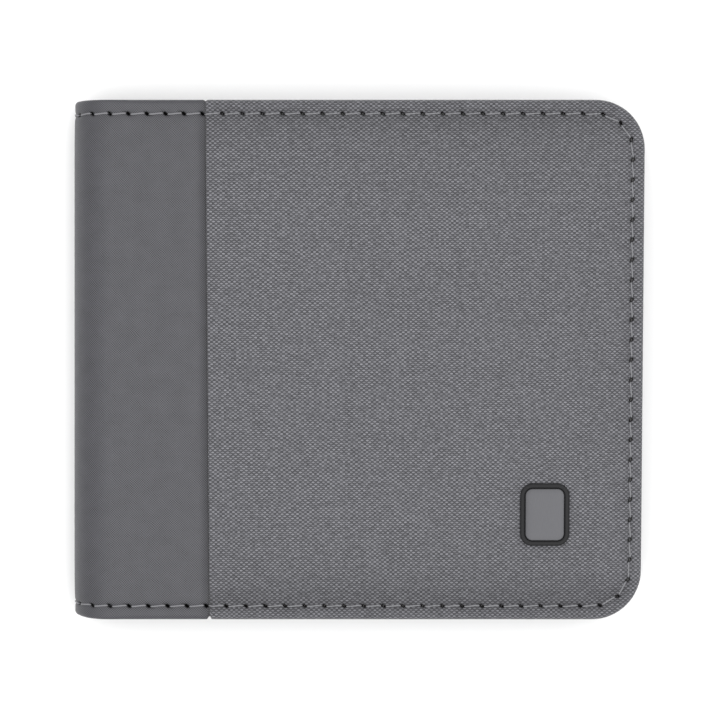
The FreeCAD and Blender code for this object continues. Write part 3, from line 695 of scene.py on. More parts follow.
def lining_depth(x, y):
    """The lining's outer face: it sinks under the turned edge of the skin."""
    inset, _, _ = COVER.inset(x, y)
    beside_flange = 1 - smooth((inset - ROLL - FLANGE) / 0.9)
    flat_part = off_fold(x)
    return FOLD_LINING_DEPTH + (PAD_DEPTH - FOLD_LINING_DEPTH - 0.32 * beside_flange) * flat_part


def panel_depth(x, y):
    return FOLD_PANEL_DEPTH + (PANEL_DEPTH - FOLD_PANEL_DEPTH) * off_fold(x)


def lining_pieces(material):
    """The note pocket's lining, with its raw edge under the skin's turned one."""
    made = []
    bend_y = np.arange(-48, 49, 3.0)
    for number in range(1, STRIPS + 2):
        low, high, turned = fold_range(number)
        if is_end(number):
            loop = sheet_loop(low, 1.4)
            detail = np.vstack([
                cross_points(stations(low, LIP_END + 1, 0.5), bend_y),
                near_edge(sheet_loop(low, ROLL + FLANGE - 0.3), [0.3, 0.8, 1.3])])
        else:
            xs = stations(low, high, 0.42)
            _, loop = lattice(xs, stations(-TOP + 1.4, TOP - 1.4, 2.4))
            detail = cross_points(xs, bend_y)
        piece = inner_sheet(f"lining_{number}", [loop], lining_depth, LINING_THICKNESS, turned,
                            material, detail=detail, step=3.0)
        blend_over_fold(piece, number, FOLD_LINING_DEPTH + LINING_THICKNESS + 0.02)
        made.append(piece)
    return made


def hem_below(top):
    """The extra thickness of a hem turned down from a sheet's upper edge, with its stitched line."""
    def extra(x, y):
        below = top - y
        folded = 1 - smooth((below - HEM_WIDTH) / 0.35)
        stitched = np.exp(-((below - HEM_STITCH) / 0.45) ** 2)
        return 0.2 * folded - 0.1 * stitched
    return extra


def hem_detail(x_low, x_high, top):
    """Rows of points that give a hem its shape."""
    return cross_points(stations(x_low, x_high, 1.0), top - np.array(HEM_ROWS))


def inner_panel_pieces(material):
    """The note pocket's inner wall, which carries the card slots."""
    made = []
    for number in range(1, STRIPS + 2):
        low, high, turned = fold_range(number)
        if is_end(number):
            loop = sheet_loop(low, INNER_INSET, y_high=PANEL_EDGE)
            high = EDGE - 1
            fine = stations(low, LIP_END + 1, 0.5)
        else:
            fine = stations(low, high, 0.42)
            _, loop = lattice(fine, stations(-TOP + INNER_INSET, PANEL_EDGE, 1.0))
        bend = cross_points(fine, np.arange(-48, PANEL_EDGE - 6, 2.5))
        detail = np.vstack([bend, hem_detail(low, high, PANEL_EDGE)])
        piece = inner_sheet(f"inner_panel_{number}", [loop], panel_depth, PANEL_THICKNESS, turned,
                            material, detail=detail, step=2.5,
                            hem=hem_below(PANEL_EDGE))
        blend_over_fold(piece, number, FOLD_PANEL_DEPTH + PANEL_THICKNESS + 0.22)
        made.append(piece)
    return made


def sheet_height(node):
    """Depth of a rigid sheet's outer face, its upper edge and its thickness, from its CAD node."""
    low, high = box_mm(node)
    depth = THICKNESS - high[2] if low[2] > RADIUS else low[2]
    return depth, high[1], high[2] - low[2]


def card_sheet(node, name, turned, material):
    """A card sheet with a hem; the middle of its upper edge has sagged open a little."""
    outer, top, thickness = sheet_height(node)
    middle, half = (SLOT_SIDE + EDGE) / 2, (EDGE - SLOT_SIDE) / 2

    def depth(x, y):
        across = np.clip(1 - ((x - middle) / half) ** 2, 0.0, 1.0)
        return outer + 0.1 * across * np.exp(-((top - y) / 7.0) ** 2)

    loop = sheet_loop(SLOT_SIDE, INNER_INSET, y_high=top)
    return inner_sheet(name, [loop], depth, thickness, turned, material,
                       detail=hem_detail(SLOT_SIDE, EDGE, top), step=2.2, hem=hem_below(top))


def edge_line(inset, x_low, y_high):
    """Points down the free edge from y_high and along the bottom to x_low."""
    path = COVER.path(inset, x_low, x_low)[2:]
    path[0] = ("line", (EDGE - inset, y_high), path[0][2])
    return path_steps(path, 1.2)


def seam_band(name, loop, low_depth, high_depth, turned, material):
    """The turned-in edges that lie between two sewn sheets."""
    return inner_sheet(name, [loop], lambda x, y: low_depth + 0.0 * x, high_depth - low_depth,
                       turned, material, step=1.5)


def seam_bands(side, nodes, turned, lining, leather):
    """The note pocket's sewn edges, an L, and those of each slot, a U."""
    outer, inner = (edge_line(0.75 + width, LIP_END, PANEL_EDGE) for width in (0.0, BAND_WIDTH))
    pocket = seam_band(f"{side}_note_pocket_edges", np.vstack([outer, inner[::-1]]),
                       EDGE_DEPTH - 0.05, PANEL_DEPTH + 0.05, turned, lining)
    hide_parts(f"{side}_note_pocket_seam")
    made = [pocket]
    below = PANEL_DEPTH + PANEL_THICKNESS
    x_low, inset = SLOT_SIDE + 0.3, 0.7
    for level, node in enumerate(nodes, start=1):
        depth, top, thickness = sheet_height(node)
        y_high = top - 0.4
        ends = [(x_low, y_high), (x_low + BAND_WIDTH, y_high)]
        loop = np.vstack([edge_line(inset, x_low, y_high), ends,
                          edge_line(inset + BAND_WIDTH, x_low + BAND_WIDTH, y_high)[::-1]])
        made.append(seam_band(f"{side}_slot_edges_{level}", loop, below - 0.05, depth + 0.05,
                              turned, leather))
        below = depth + thickness
    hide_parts(f"{side}_slot_seams")
    return made


def window_opening():
    """The lower and the upper corner of the window's opening."""
    top = sheet_height("id_window_frame")[1]
    low = np.array([SLOT_SIDE + WINDOW_BORDER, -TOP + INNER_INSET + WINDOW_BORDER])
    high = np.array([EDGE - INNER_INSET - WINDOW_BORDER, top - WINDOW_BORDER])
    return low, high


def identity_window(leather, clear):
    """The frame with its bound opening, and the slightly wavy film behind it."""
    outer, top, thickness = sheet_height("id_window_frame")
    low, high = window_opening()
    opening = rounded_loop(low, high, WINDOW_RADIUS)
    loop = sheet_loop(SLOT_SIDE, INNER_INSET, y_high=top)

    def hem(x, y):
        over = np.maximum(np.maximum(low[0] - x, x - high[0]), np.maximum(low[1] - y, y - high[1]))
        binding = 1 - smooth((over - 2.6) / 0.3)
        stitched = np.exp(-((over - WINDOW_STITCH) / 0.4) ** 2)
        return 0.16 * binding - 0.08 * stitched + hem_below(top)(x, y)

    detail = np.vstack([near_edge(opening, [1.1, 1.4, 1.7, 2.3, 2.6, 2.9], outside=True),
                        hem_detail(SLOT_SIDE, EDGE, top)])
    framed = inner_sheet("window_frame", [loop, opening], lambda x, y: outer + 0.0 * x, thickness,
                         True, leather, detail=detail, step=2.2, hem=hem)
    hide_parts("id_window_frame")
    film_outer, _, _ = sheet_height("id_window_film")
    film_low, film_high = box_mm("id_window_film")

    def film_depth(x, y):
        waves = np.sin(x * 0.21 + 0.9) * np.sin(y * 0.17) + 0.4 * np.sin(x * 0.09 - y * 0.31)
        return film_outer + 0.05 + 0.07 * waves

    film = inner_sheet("window_film", [rounded_loop(film_low[:2], film_high[:2], WINDOW_RADIUS)],
                       film_depth, FILM_THICKNESS, True, clear, step=2.0)
    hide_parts("id_window_film")
    return [framed, film]


def pad(side, turned, material):
    """The foam under the fabric; it is squeezed along the stitches."""
    low_x = SEAM + 0.8
    rings = [path_steps(COVER.path(level, low_x, low_x), 1.3)
             for level in (1.3, 1.9, 2.6, 3.4, 4.6, 6.5)]
    side_y = stations(rings[0][-1][1], rings[0][0][1], 1.5)[1:-1]
    loop = np.vstack([rings[0], np.column_stack([np.full(len(side_y), low_x), side_y])])
    grid = grid_points((SEAM + 2, -TOP + 8), (EDGE - 8, TOP - 8), 2.2)
    flat, triangles = triangulate(np.vstack([ring[1:-1] for ring in rings[1:]] + [grid]), [loop])
    x, y = flat[:, 0], flat[:, 1]
    closed = np.clip(edge_distance(flat, [loop]) / 0.6, 0.0, 1.0)
    outer_depth = SKIN_THICKNESS + 0.06 - fabric_rise(x, y, turned)
    outer_depth = outer_depth + (PAD_DEPTH - 0.1 - outer_depth) * (1 - np.sqrt(closed))
    piece = solid_sheet(f"{side}_pad", flat, triangles, to_space(x, y, outer_depth, turned),
                        to_space(x, y, PAD_DEPTH - 0.02, turned), material)
    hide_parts(f"{side}_padding")
    return piece


# ---- Stitches: three twisted plies from needle hole to needle hole ----

PLIES = 3
PLY_RADIUS = 0.085
PLY_OFFSET = 0.08
PLY_SIDES = 6
PLY_TURN = 1.7                             # radians that each stitch's plies are turned from the last
TWIST_LENGTH = 1.0                         # one turn of the plies
THREAD_STEPS = 18
HOLE_SHARE = 0.3                           # from the middle of a hole to where its thread dives
SLANT = 0.13
EDGE_ROWS = (ROW.top, ROW.bottom)
HEM_INSET = 4.5                            # a hem's ends to its first stitches, at the fold's side
HEM_END = EDGE - 5.5                       # and at the free edge


def tube_faces(first, rings, sides):
    """Faces of a closed tube whose vertices come ring by ring."""
    faces = []
    for ring in range(rings - 1):
        start = first + ring * sides
        for corner in range(sides):
            beside = (corner + 1) % sides
            faces.append((start + corner, start + beside, start + sides + beside,
                          start + sides + corner))
    last = first + (rings - 1) * sides
    return faces + [tuple(range(first + sides - 1, first - 1, -1)), tuple(range(last, last + sides))]


def thread_line(start, end, surface, lift, sink):
    """Places along one stitch; it dives into both holes and stands on the surface between."""
    clear_of_hole = HOLE_SHARE / math.dist(start, end)
    share = np.linspace(clear_of_hole, 1.0 - clear_of_hole, THREAD_STEPS + 1)
    run = np.array(end) - np.array(start)
    across = np.array([-run[1], run[0]]) / np.linalg.norm(run)
    slant = SLANT * np.sin((share - 0.5) * math.pi)
    x = start[0] + run[0] * share + across[0] * slant
    y = start[1] + run[1] * share + across[1] * slant
    in_hole = 1 - smooth((np.minimum(share, 1 - share) - clear_of_hole) / 0.1)
    return x, y, surface(x, y) - lift * (1 - in_hole) + sink * in_hole


def plies(line, turned, phase):
    """Vertices and faces of the twisted plies along one line of places."""
    x, y, depth = line
    spine = to_space(x, y, depth, turned)
    above = to_space(x, y, depth - 0.2, turned)
    tangent = np.gradient(spine, axis=0)
    tangent /= np.linalg.norm(tangent, axis=1)[:, None]
    side = np.cross(tangent, above - spine)
    side /= np.linalg.norm(side, axis=1)[:, None]
    up = np.cross(side, tangent)
    steps = np.linalg.norm(np.diff(spine, axis=0), axis=1) / MM
    along = np.concatenate([[0.0], np.cumsum(steps)])
    corner = 2 * math.pi * np.arange(PLY_SIDES)[None, :, None] / PLY_SIDES
    ring = side[:, None, :] * np.cos(corner) + up[:, None, :] * np.sin(corner)
    vertices, faces = [], []
    for ply in range(PLIES):
        turn = 2 * math.pi * (along / TWIST_LENGTH + ply / PLIES) + phase
        centre = spine + (side * np.cos(turn)[:, None] + up * np.sin(turn)[:, None]) * PLY_OFFSET * MM
        vertices.append((centre[:, None, :] + ring * PLY_RADIUS * MM).reshape(-1, 3))
        faces += tube_faces(ply * len(x) * PLY_SIDES, len(x), PLY_SIDES)
    return np.vstack(vertices), faces


def stitch_piece(name, pairs, surface, turned, material, lift=0.1, sink=0.5):
    """One mesh of stitches between pairs of holes."""
    vertices, faces, first = [], [], 0
    for number, (start, end) in enumerate(pairs):
        line = thread_line(start, end, surface, lift, sink)
        points, sides = plies(line, turned, phase=PLY_TURN * number)
        vertices.append(points)
        faces += [tuple(first + index for index in side) for side in sides]
        first += len(points)
    return new_piece(name, np.vstack(vertices), faces, material)


def outer_surface(turned):
    """Depth of the skin's face, fabric and trim alike."""
    def depth(x, y):
        return -np.where(x > SEAM, fabric_rise(x, y, turned), trim_rise(x, y, turned))
    return depth


def inner_surface(sheets):
    """Depth of the innermost layer that a place on a cover shows."""
    levels = [sheet_height(node) for node in sheets]

    def depth(x, y):
        found = np.where(y < PANEL_EDGE, panel_depth(x, y) + PANEL_THICKNESS, 2 * roll_height(x))
        for outer, top, thickness in levels:
            found = np.where((x > SLOT_SIDE) & (y < top), outer + thickness, found)
        return found
    return depth


def neighbours(places):
    """Pairs of places that follow each other."""
    return [(tuple(first), tuple(second)) for first, second in zip(places, places[1:])]


def level_rows(xs, rows):
    """Pairs of neighbouring holes at the given x, in rows at the given y."""
    return [pair for y in rows for pair in neighbours([(x, y) for x in xs])]


def cover_pairs():
    """Neighbouring holes of one cover between the fold's two ends, without the stretch on the fold."""
    return [pair for pair in neighbours(HOLES) if min(pair[0][0], pair[1][0]) > FOLD_X - 0.5]


def fold_pairs(number, rows):
    """Neighbouring holes on the curved stretch of one piece over the fold."""
    low, high, _ = fold_range(number)
    return level_rows(np.linspace(high, low, 3), rows)


def hem_pairs(x_low, tops):
    """Holes of the straight rows that hold the hems."""
    return level_rows(stations(x_low, HEM_END, HEM_PITCH), [top - HEM_STITCH for top in tops])


def window_pairs():
    """Holes of the row that holds the binding round the window's opening."""
    low, high = window_opening()
    low, high = low - WINDOW_STITCH, high + WINDOW_STITCH
    corners = [low, np.array([high[0], low[1]]), high, np.array([low[0], high[1]])]
    pairs = []
    for start, end in zip(corners, corners[1:] + corners[:1]):
        length = np.linalg.norm(end - start)
        unit = (end - start) / length
        count = round(length / HEM_PITCH)
        pairs += neighbours(np.linspace(start + unit * 0.6, end - unit * 0.6, count + 1))
    return pairs


def cover_stitches(side, turned, layers, material):
    """The edge row outside, the same row inside, and the rows that hold the hems."""
    pairs = cover_pairs()
    outer = stitch_piece(f"{side}_stitches", pairs, outer_surface(turned), turned, material)
    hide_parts(f"{side}_edge_stitching")
    facing_in = inner_surface(layers)
    inner = stitch_piece(f"{side}_inner_stitches", pairs, facing_in, turned, material,
                         lift=-0.04, sink=-0.4)
    hem = hem_pairs(SLOT_SIDE + HEM_INSET, [sheet_height(node)[1] for node in layers])
    hem += hem_pairs(FOLD_X, [PANEL_EDGE])
    if side == "front":
        hem += window_pairs()
    hems = stitch_piece(f"{side}_hem_stitches", hem, lambda x, y: facing_in(x, y) + 0.12, turned,
                        material, lift=-0.03, sink=-0.35)
    for piece in (outer, inner, hems):
        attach(piece, f"{side}_half")


def fold_stitches(number, material):
    """The rows that cross one fold line, outside and inside."""
    turned = number == STRIPS + 1
    outer = stitch_piece(f"fold_stitches_{number}", fold_pairs(number, EDGE_ROWS),
                         outer_surface(turned), turned, material)
    blend_over_fold(outer, number, 2 * FOLD_ROLL + 0.05)
    if number == 2:
        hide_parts(*[f"spine_stitching_{strip}" for strip in range(1, STRIPS + 1)])
    rows = fold_pairs(number, [*EDGE_ROWS, PANEL_EDGE - HEM_STITCH])
    inner = stitch_piece(f"fold_inner_stitches_{number}", rows, inner_surface([]), turned, material,
                         lift=-0.04, sink=-0.3)
    blend_over_fold(inner, number, FOLD_PANEL_DEPTH + PANEL_THICKNESS + 0.3)


# ---- The badge: a plain rim and a slightly domed face ----

def lofted(name, profile, material):
    """A closed piece of rounded-rectangle rings; profile lists each ring's inset and height."""
    vertices = []
    centre = np.array([BADGE_X, BADGE_Y])
    for inset, height in profile:
        half = np.array([BADGE_HALF_WIDTH - inset, BADGE_HALF_LENGTH - inset])
        ring = round_corners(centre - half, centre + half, max(BADGE_RADIUS - inset, 0.3), 12)
        vertices.append(np.column_stack([ring, np.full(len(ring), height)]))
    points = np.vstack(vertices)
    points[:, 0] += lean(points[:, 0], points[:, 1])
    faces = tube_faces(0, len(profile), len(vertices[0]))
    piece = new_piece(name, points * MM, faces, material, {"flat": points}, sharp=30.0)
    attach(piece, "front_half")
    return piece


def badge(rim_material, face_material):
    beside = fabric_rise(np.array([BADGE_X]), np.array([BADGE_Y]), True)[0]
    floor = THICKNESS + beside - 0.12
    top = floor + BADGE_HEIGHT
    rim_profile = [(0.1, floor), (0.0, floor + 0.15), (0.0, top - 0.3), (0.05, top - 0.14),
                   (0.16, top - 0.04), (0.3, top), (BADGE_RIM - 0.32, top),
                   (BADGE_RIM - 0.18, top - 0.05), (BADGE_RIM - 0.08, top - 0.16),
                   (BADGE_RIM - 0.02, top - 0.34)]
    rim = lofted("badge_rim", rim_profile, rim_material)
    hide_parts("badge_base")
    face_profile = [(BADGE_RIM + 0.04, top - 0.33), (BADGE_RIM + 0.04, top - 0.06),
                    (BADGE_RIM + 0.12, top + 0.02), (BADGE_RIM + 0.3, top + 0.06),
                    (BADGE_RIM + 1.0, top + 0.09), (BADGE_RIM + 2.2, top + 0.11)]
    face = lofted("badge_plain_face", face_profile, face_material)
    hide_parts("badge_face")


# ---- Materials ----

WARP_COLOUR = (0.073, 0.073, 0.080, 1.0)
WEFT_COLOUR = (0.188, 0.188, 0.203, 1.0)
TRIM_DARK = (0.004, 0.004, 0.005, 1.0)
TRIM_LIGHT = (0.102, 0.102, 0.115, 1.0)
INNER_DARK = (0.008, 0.008, 0.009, 1.0)
INNER_LIGHT = (0.070, 0.070, 0.078, 1.0)
LINING_DARK = (0.022, 0.023, 0.027, 1.0)
LINING_LIGHT = (0.052, 0.054, 0.062, 1.0)
THREAD_DARK = (0.13, 0.13, 0.14, 1.0)
THREAD_LIGHT = (0.27, 0.27, 0.285, 1.0)
FILM_DARK = (0.26, 0.27, 0.29, 1.0)
FILM_LIGHT = (0.42, 0.43, 0.45, 1.0)
FACE_DARK = (0.063, 0.063, 0.068, 1.0)
FACE_LIGHT = (0.1, 0.1, 0.106, 1.0)

WARP_PITCH, WEFT_PITCH = 0.5, 0.385
WEAVE_WAVINESS = 0.55                      # how far the yarns wander, in millimetres
HATCH_PITCH = (0.457, 0.447)               # of the coating's crossed grain lines
TWILL_PITCH = 0.42


def grey(level, warmth=1.0):
    return (level, level, level * warmth, 1.0)


class Value:
    """A node's output; arithmetic on it adds math nodes."""

    def __init__(self, surface, socket):
        self.surface = surface
        self.socket = socket

    def math(self, operation, second=0.0, third=0.0):
        return self.surface.math(operation, self, second, third)

    def __add__(self, other):
        return self.math("ADD", other)

    def __sub__(self, other):
        return self.math("SUBTRACT", other)

    def __rsub__(self, other):
        return self.surface.math("SUBTRACT", other, self)

    def __mul__(self, other):
        return self.math("MULTIPLY", other)

    def __truediv__(self, other):
        return self.math("DIVIDE", other)

    def clipped(self, low, high):
        return self.math("MAXIMUM", low).math("MINIMUM", high)


class Surface:
    """A material in the making, with short ways to add nodes."""

    def __init__(self, name, roughness, **sockets):
        self.material = bpy.data.materials.new(name)
        self.material.use_nodes = True
        self.tree = self.material.node_tree
        self.shader = self.tree.nodes["Principled BSDF"]
        self.shader.inputs["Roughness"].default_value = roughness
        for key, value in sockets.items():
            self.shader.inputs[key.replace("_", " ")].default_value = value

    def put(self, value, socket):
        if isinstance(value, Value):
            self.tree.links.new(value.socket, socket)
        else:
            socket.default_value = value

    def node(self, kind, output=0, settings=(), **inputs):
        """A new node's output; settings are its properties, inputs its sockets by name."""
        node = self.tree.nodes.new(f"ShaderNode{kind}")
        for key, value in dict(settings).items():
            setattr(node, key, value)
        for key, value in inputs.items():
            self.put(value, node.inputs[key])
        return Value(self, node.outputs[output])

    def math(self, operation, *values):
        node = self.tree.nodes.new("ShaderNodeMath")
        node.operation = operation
        for value, socket in zip(values, node.inputs):
            self.put(value, socket)
        return Value(self, node.outputs[0])

    def attribute(self, name, output="Vector"):
        return self.node("Attribute", output, {"attribute_name": name})

    def place(self):
        """The place in space, in metres, for pieces without a flat pattern."""
        return self.node("TexCoord", "Object")

    def split(self, vector):
        node = self.tree.nodes.new("ShaderNodeSeparateXYZ")
        self.put(vector, node.inputs[0])
        return Value(self, node.outputs[0]), Value(self, node.outputs[1])

    def noise(self, vector, scale, detail=2.0, spread=0.5):
        return self.node("TexNoise", "Fac", Vector=vector, Scale=scale, Detail=detail,
                         Roughness=spread)

    def chance(self, value, seed):
        """A number from 0 to 1 for each whole value."""
        return self.node("TexWhiteNoise", "Value", {"noise_dimensions": "1D"}, W=value + seed)

    def between(self, share, first, second):
        """A mix of two colours."""
        node = self.tree.nodes.new("ShaderNodeMix")
        node.data_type = "RGBA"
        for value, number in ((share, 0), (first, 6), (second, 7)):
            self.put(value, node.inputs[number])
        return Value(self, node.outputs[2])

    def scaled(self, colour, factor):
        """A colour times a number that changes over the surface."""
        node = self.tree.nodes.new("ShaderNodeVectorMath")
        node.operation = "SCALE"
        self.put(colour, node.inputs[0])
        self.put(factor, node.inputs["Scale"])
        return Value(self, node.outputs[0])

    def stretched(self, vector, factors):
        """A vector with each part times its factor."""
        node = self.tree.nodes.new("ShaderNodeVectorMath")
        node.operation = "MULTIPLY"
        self.put(vector, node.inputs[0])
        self.put(factors, node.inputs[1])
        return Value(self, node.outputs[0])

    def bump(self, height, distance_mm, strength):
        bumped = self.node("Bump", Distance=distance_mm * MM, Strength=strength, Height=height)
        self.put(bumped, self.shader.inputs["Normal"])

    def colour(self, value):
        self.put(value, self.shader.inputs["Base Color"])

    def roughness(self, value):
        self.put(value, self.shader.inputs["Roughness"])

    def with_painted_shade(self, value):
        """The colour with the painted shade from the dark attribute mixed in, and black without shine in
        the needle holes as their painted shade.
        """
        dark = self.attribute("dark", "Fac")
        self.colour(self.between(dark, value, grey(0.004)))
        # Painted shade: metallic black takes the shine out of the needle holes.
        in_hole = dark * 2.5 - 1.5
        self.put(in_hole.math("MAXIMUM", 0.0), self.shader.inputs["Metallic"])

    def grained(self, grain, dark, light, bump_mm, strength):
        """Colour and bump that follow the same fine grain."""
        self.colour(self.between(grain, dark, light))
        self.bump(grain, bump_mm, strength)


def weave(surface, flat):
    """A plain weave: (its height, the share of weft, the warp's number, the weft's number)."""
    x, y = surface.split(flat)
    across = (x + surface.noise(flat, 0.16) * WEAVE_WAVINESS) / WARP_PITCH
    along = (y + surface.noise(flat, 0.13) * WEAVE_WAVINESS) / WEFT_PITCH
    warp, weft = across.math("FLOOR"), along.math("FLOOR")
    in_warp = across.math("FRACT") - 0.5
    in_weft = along.math("FRACT") - 0.5
    number = warp + weft
    heights = []
    for offset, other, sign in ((in_warp, in_weft, 0.5), (in_weft, in_warp, -0.5)):
        wave = ((number + other) * math.pi).math("COSINE")
        bow = (offset.math("ABSOLUTE") * 2.0).math("POWER", 2.5)
        heights.append(wave * sign + (1.0 - bow))
    share = ((heights[1] - heights[0]) * 3.0).clipped(0.0, 1.0)
    return heights[0].math("MAXIMUM", heights[1]), share, warp, weft


def woven_fabric():
    """Plain weave of darker warp and lighter weft yarns, matt with a little sheen."""
    surface = Surface("woven_fabric", 0.86, Sheen_Weight=0.12, Sheen_Roughness=0.5,
                      Specular_IOR_Level=0.25)
    flat = surface.attribute("flat")
    height, share, warp, weft = weave(surface, flat)
    crossing = weft.math("MULTIPLY_ADD", 57.3, warp)
    tint = surface.chance(warp, 0.3) * 0.04 + surface.chance(weft, 7.7) * 0.05
    tint = surface.chance(crossing, 3.1) * 0.36 + tint
    fibres = surface.noise(flat, 2.6, 4.0, 0.75) * 1.1
    cloudy = surface.noise(flat, 0.35) * 0.06
    level = tint + fibres + (cloudy + 0.15)
    # Painted shade between the yarns: the colour darkens where the weave sinks.
    gap = (height * 1.25 - 0.25).clipped(0.12, 1.0)
    yarns = surface.between(share, WARP_COLOUR, WEFT_COLOUR)
    surface.with_painted_shade(surface.scaled(yarns, level * gap))
    surface.bump(surface.noise(flat, 7.0) * 0.25 + height, 0.07, 0.8)
    return surface.material


def hatch(surface, flat, grain):
    """Fine crossed grain lines pressed into a coating."""
    wobble = surface.noise(flat, 0.5, 1.0) * 0.3
    lines = []
    for value, pitch in zip(surface.split(flat), HATCH_PITCH):
        lines.append(((value + wobble) * (2 * math.pi / (pitch * grain))).math("SINE"))
    return (lines[0] * lines[1] * 1.1 + 0.5).clipped(0.0, 1.0)


def coated(name, dark, light, roughness, depth_mm, grain=1.0):
    """Coated leather: crosshatch grain, cloudy tone, satin gloss that changes a little."""
    surface = Surface(name, roughness, Specular_IOR_Level=0.4)
    flat = surface.attribute("flat")
    pattern = hatch(surface, flat, grain)
    cloudy = surface.noise(flat, 0.3, 3.0, 0.6)
    pebbles = surface.noise(flat, 2.4 / grain, 3.0, 0.6)
    surface.with_painted_shade(surface.between(cloudy * 0.25 + pattern * 0.75, dark, light))
    surface.roughness(pebbles * 0.22 + (roughness - 0.11))
    surface.bump(pattern * 0.5 + pebbles, depth_mm, 0.7)
    return surface.material


def lining_cloth():
    """Fine diagonal twill, slightly glossy."""
    surface = Surface("lining_cloth", 0.6, Sheen_Weight=0.08, Specular_IOR_Level=0.35)
    flat = surface.attribute("flat")
    x, y = surface.split(flat)
    ribs = ((x + y * 0.8) * (2 * math.pi / TWILL_PITCH)).math("SINE") * 0.5 + 0.5
    tone = surface.noise(flat, 1.3, 3.0) * 0.5 + ribs * 0.5
    surface.colour(surface.between(tone, LINING_DARK, LINING_LIGHT))
    surface.bump(ribs, 0.03, 0.7)
    return surface.material


def thread():
    surface = Surface("thread", 0.55, Sheen_Weight=0.1, Specular_IOR_Level=0.4)
    surface.grained(surface.noise(surface.place(), 9000.0), THREAD_DARK, THREAD_LIGHT, 0.02, 0.6)
    return surface.material


def foam():
    surface = Surface("padding_foam", 0.95)
    surface.grained(surface.noise(surface.place(), 4000.0, 3.0), grey(0.03), grey(0.07), 0.1, 0.6)
    return surface.material


def clear_film():
    """Clear plastic, a little cloudy with scuffs."""
    surface = Surface("clear_film", 0.2, Alpha=0.16)
    scuffs = surface.noise(surface.attribute("flat"), 0.25)
    surface.colour(surface.between(scuffs, FILM_DARK, FILM_LIGHT))
    surface.roughness(scuffs * 0.14 + 0.14)
    return surface.material


def badge_metal():
    """Fine brushed grain along the badge's length."""
    surface = Surface("badge_face", 0.42, Metallic=0.85)
    drawn_out = surface.stretched(surface.attribute("flat"), (9.0, 0.5, 1.0))
    brushed = surface.noise(drawn_out, 1.6, 3.0, 0.6)
    surface.grained(brushed, FACE_DARK, FACE_LIGHT, 0.006, 0.5)
    surface.roughness(brushed * 0.16 + 0.34)
    return surface.material


def rim_plastic():
    surface = Surface("badge_rim", 0.5, Specular_IOR_Level=0.2)
    specks = surface.noise(surface.place(), 3000.0, 3.0)
    surface.grained(specks, grey(0.007, 1.1), grey(0.014, 1.1), 0.006, 0.5)
    surface.roughness(specks * 0.14 + 0.43)
    return surface.material


# ---- The wallet ----

SMALLEST_CLOTH = 0.01                      # metres; a narrower strip isn't measured


def declare_sheet(piece):
    """Work out the size that a sheet was cut to, measured on its flat pattern; the size is not used
    further.
    """
    mesh = piece.data
    flat = np.zeros(len(mesh.vertices) * 3)
    mesh.attributes["flat"].data.foreach_get("vector", flat)
    flat = flat.reshape(-1, 3)[:, :2]
    width, length = (flat.max(axis=0) - flat.min(axis=0)) * MM
    if min(width, length) < SMALLEST_CLOTH:
        return
    one_face = len(flat) // 2
    area = 0.0
    for polygon in mesh.polygons:
        corners = list(polygon.vertices)
        if len(corners) == 3 and max(corners) < one_face:
            a, b, c = flat[corners]
            area += abs((b[0] - a[0]) * (c[1] - a[1]) - (b[1] - a[1]) * (c[0] - a[0])) / 2
    area = min(area * MM * MM, width * length)


def build_cover(side, fabric, cloth, leather, foam_material):
    """One cover's own pieces, from the padding to its card sheets."""
    turned, sheets, layers = COVERS[side]
    padding = pad(side, turned, foam_material)
    panel = fabric_panel(f"{side}_fabric", turned, fabric)
    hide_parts(f"{side}_fabric_panel")
    declare_sheet(panel)
    rigid = [padding, panel, *seam_bands(side, layers, turned, cloth, leather)]
    for level, node in enumerate(sheets, start=1):
        card = card_sheet(node, f"{side}_card_pocket_{level}", turned, leather)
        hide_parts(node)
        declare_sheet(card)
        rigid.append(card)
    for piece in rigid:
        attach(piece, f"{side}_half")


def build_wallet():
    coat = coated("coated_trim", TRIM_DARK, TRIM_LIGHT, 0.5, 0.018)
    leather = coated("inner_leather", INNER_DARK, INNER_LIGHT, 0.42, 0.09, 1.9)
    fabric, cloth, foam_material, yarn = woven_fabric(), lining_cloth(), foam(), thread()
    for side in COVERS:
        build_cover(side, fabric, cloth, leather, foam_material)
    crossing = [(trim_pieces(coat), "trim_panel", "spine_trim"),
                (lining_pieces(cloth), "lining", "spine_lining"),
                (inner_panel_pieces(leather), "inner_panel", "spine_inner_panel")]
    for made, cover_name, spine_name in crossing:
        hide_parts(f"back_{cover_name}")
        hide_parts(*[f"{spine_name}_{strip}" for strip in range(1, STRIPS + 1)])
        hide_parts(f"front_{cover_name}")
        for piece in made:
            declare_sheet(piece)
    for piece in identity_window(leather, clear_film()):
        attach(piece, "front_half")
    for side, (turned, _, layers) in COVERS.items():
        cover_stitches(side, turned, layers, yarn)
    for number in range(1, STRIPS + 2):
        fold_stitches(number, yarn)
    rim_material = rim_plastic()
    badge(rim_material, badge_metal())
    for slot in bpy.data.objects["badge_backplate"].material_slots:
        slot.material = rim_material


# ---- Floor, light and camera ----

FLOOR_HALF = 3.0
FLOOR_LEVEL = -0.00035
WORLD_AT_HORIZON = 0.45
WORLD_OVERHEAD = 1.8
KEY_ENERGY = 9.0
VIEW_WIDTH = 138.3                         # millimetres across the picture


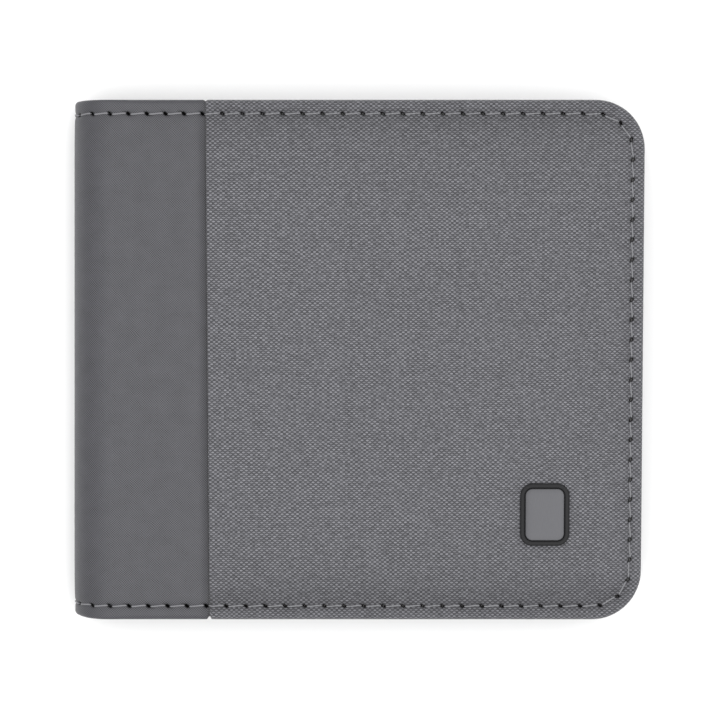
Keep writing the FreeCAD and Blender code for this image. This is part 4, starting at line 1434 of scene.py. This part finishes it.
def floor():
    mesh = bpy.data.meshes.new("floor")
    corners = [(x * FLOOR_HALF, y * FLOOR_HALF, FLOOR_LEVEL)
               for x, y in ((-1, -1), (1, -1), (1, 1), (-1, 1))]
    mesh.from_pydata(corners, [], [(0, 1, 2, 3)])
    white = Surface("floor_white", 0.9)
    white.colour((0.94, 0.94, 0.94, 1))
    mesh.materials.append(white.material)
    made = bpy.data.objects.new("floor", mesh)
    bpy.context.scene.collection.objects.link(made)


def soft_world():
    """White light all round, stronger from overhead than from the horizon."""
    world = bpy.data.worlds.new("studio")
    world.use_nodes = True
    tree = world.node_tree
    background = tree.nodes["Background"]
    background.inputs["Color"].default_value = (1, 1, 1, 1)
    direction = tree.nodes.new("ShaderNodeTexCoord")
    parts = tree.nodes.new("ShaderNodeSeparateXYZ")
    upward = tree.nodes.new("ShaderNodeMapRange")
    upward.inputs["To Min"].default_value = WORLD_AT_HORIZON
    upward.inputs["To Max"].default_value = WORLD_OVERHEAD
    tree.links.new(direction.outputs["Generated"], parts.inputs[0])
    tree.links.new(parts.outputs[2], upward.inputs["Value"])
    tree.links.new(upward.outputs[0], background.inputs["Strength"])
    bpy.context.scene.world = world


def key_light():
    light = bpy.data.lights.new("key", "AREA")
    light.shape = "RECTANGLE"
    light.size = 1.6
    light.size_y = 1.0
    light.energy = KEY_ENERGY
    key = bpy.data.objects.new("key", light)
    key.location = (0.25, -0.15, 1.9)
    key.rotation_euler = (Vector((0, 0, 0)) - key.location).to_track_quat("-Z", "Y").to_euler()
    bpy.context.scene.collection.objects.link(key)


def view():
    lens = bpy.data.cameras.new("camera")
    lens.lens = 300
    lens.sensor_width = 36
    camera = bpy.data.objects.new("camera", lens)
    camera.location = (0, 0, THICKNESS * MM + VIEW_WIDTH * MM * lens.lens / lens.sensor_width)
    bpy.context.scene.collection.objects.link(camera)
    bpy.context.scene.camera = camera
    bpy.context.scene.view_settings.view_transform = "Standard"


build_wallet()
floor()
soft_world()
key_light()
view()
bpy.context.view_layer.update()
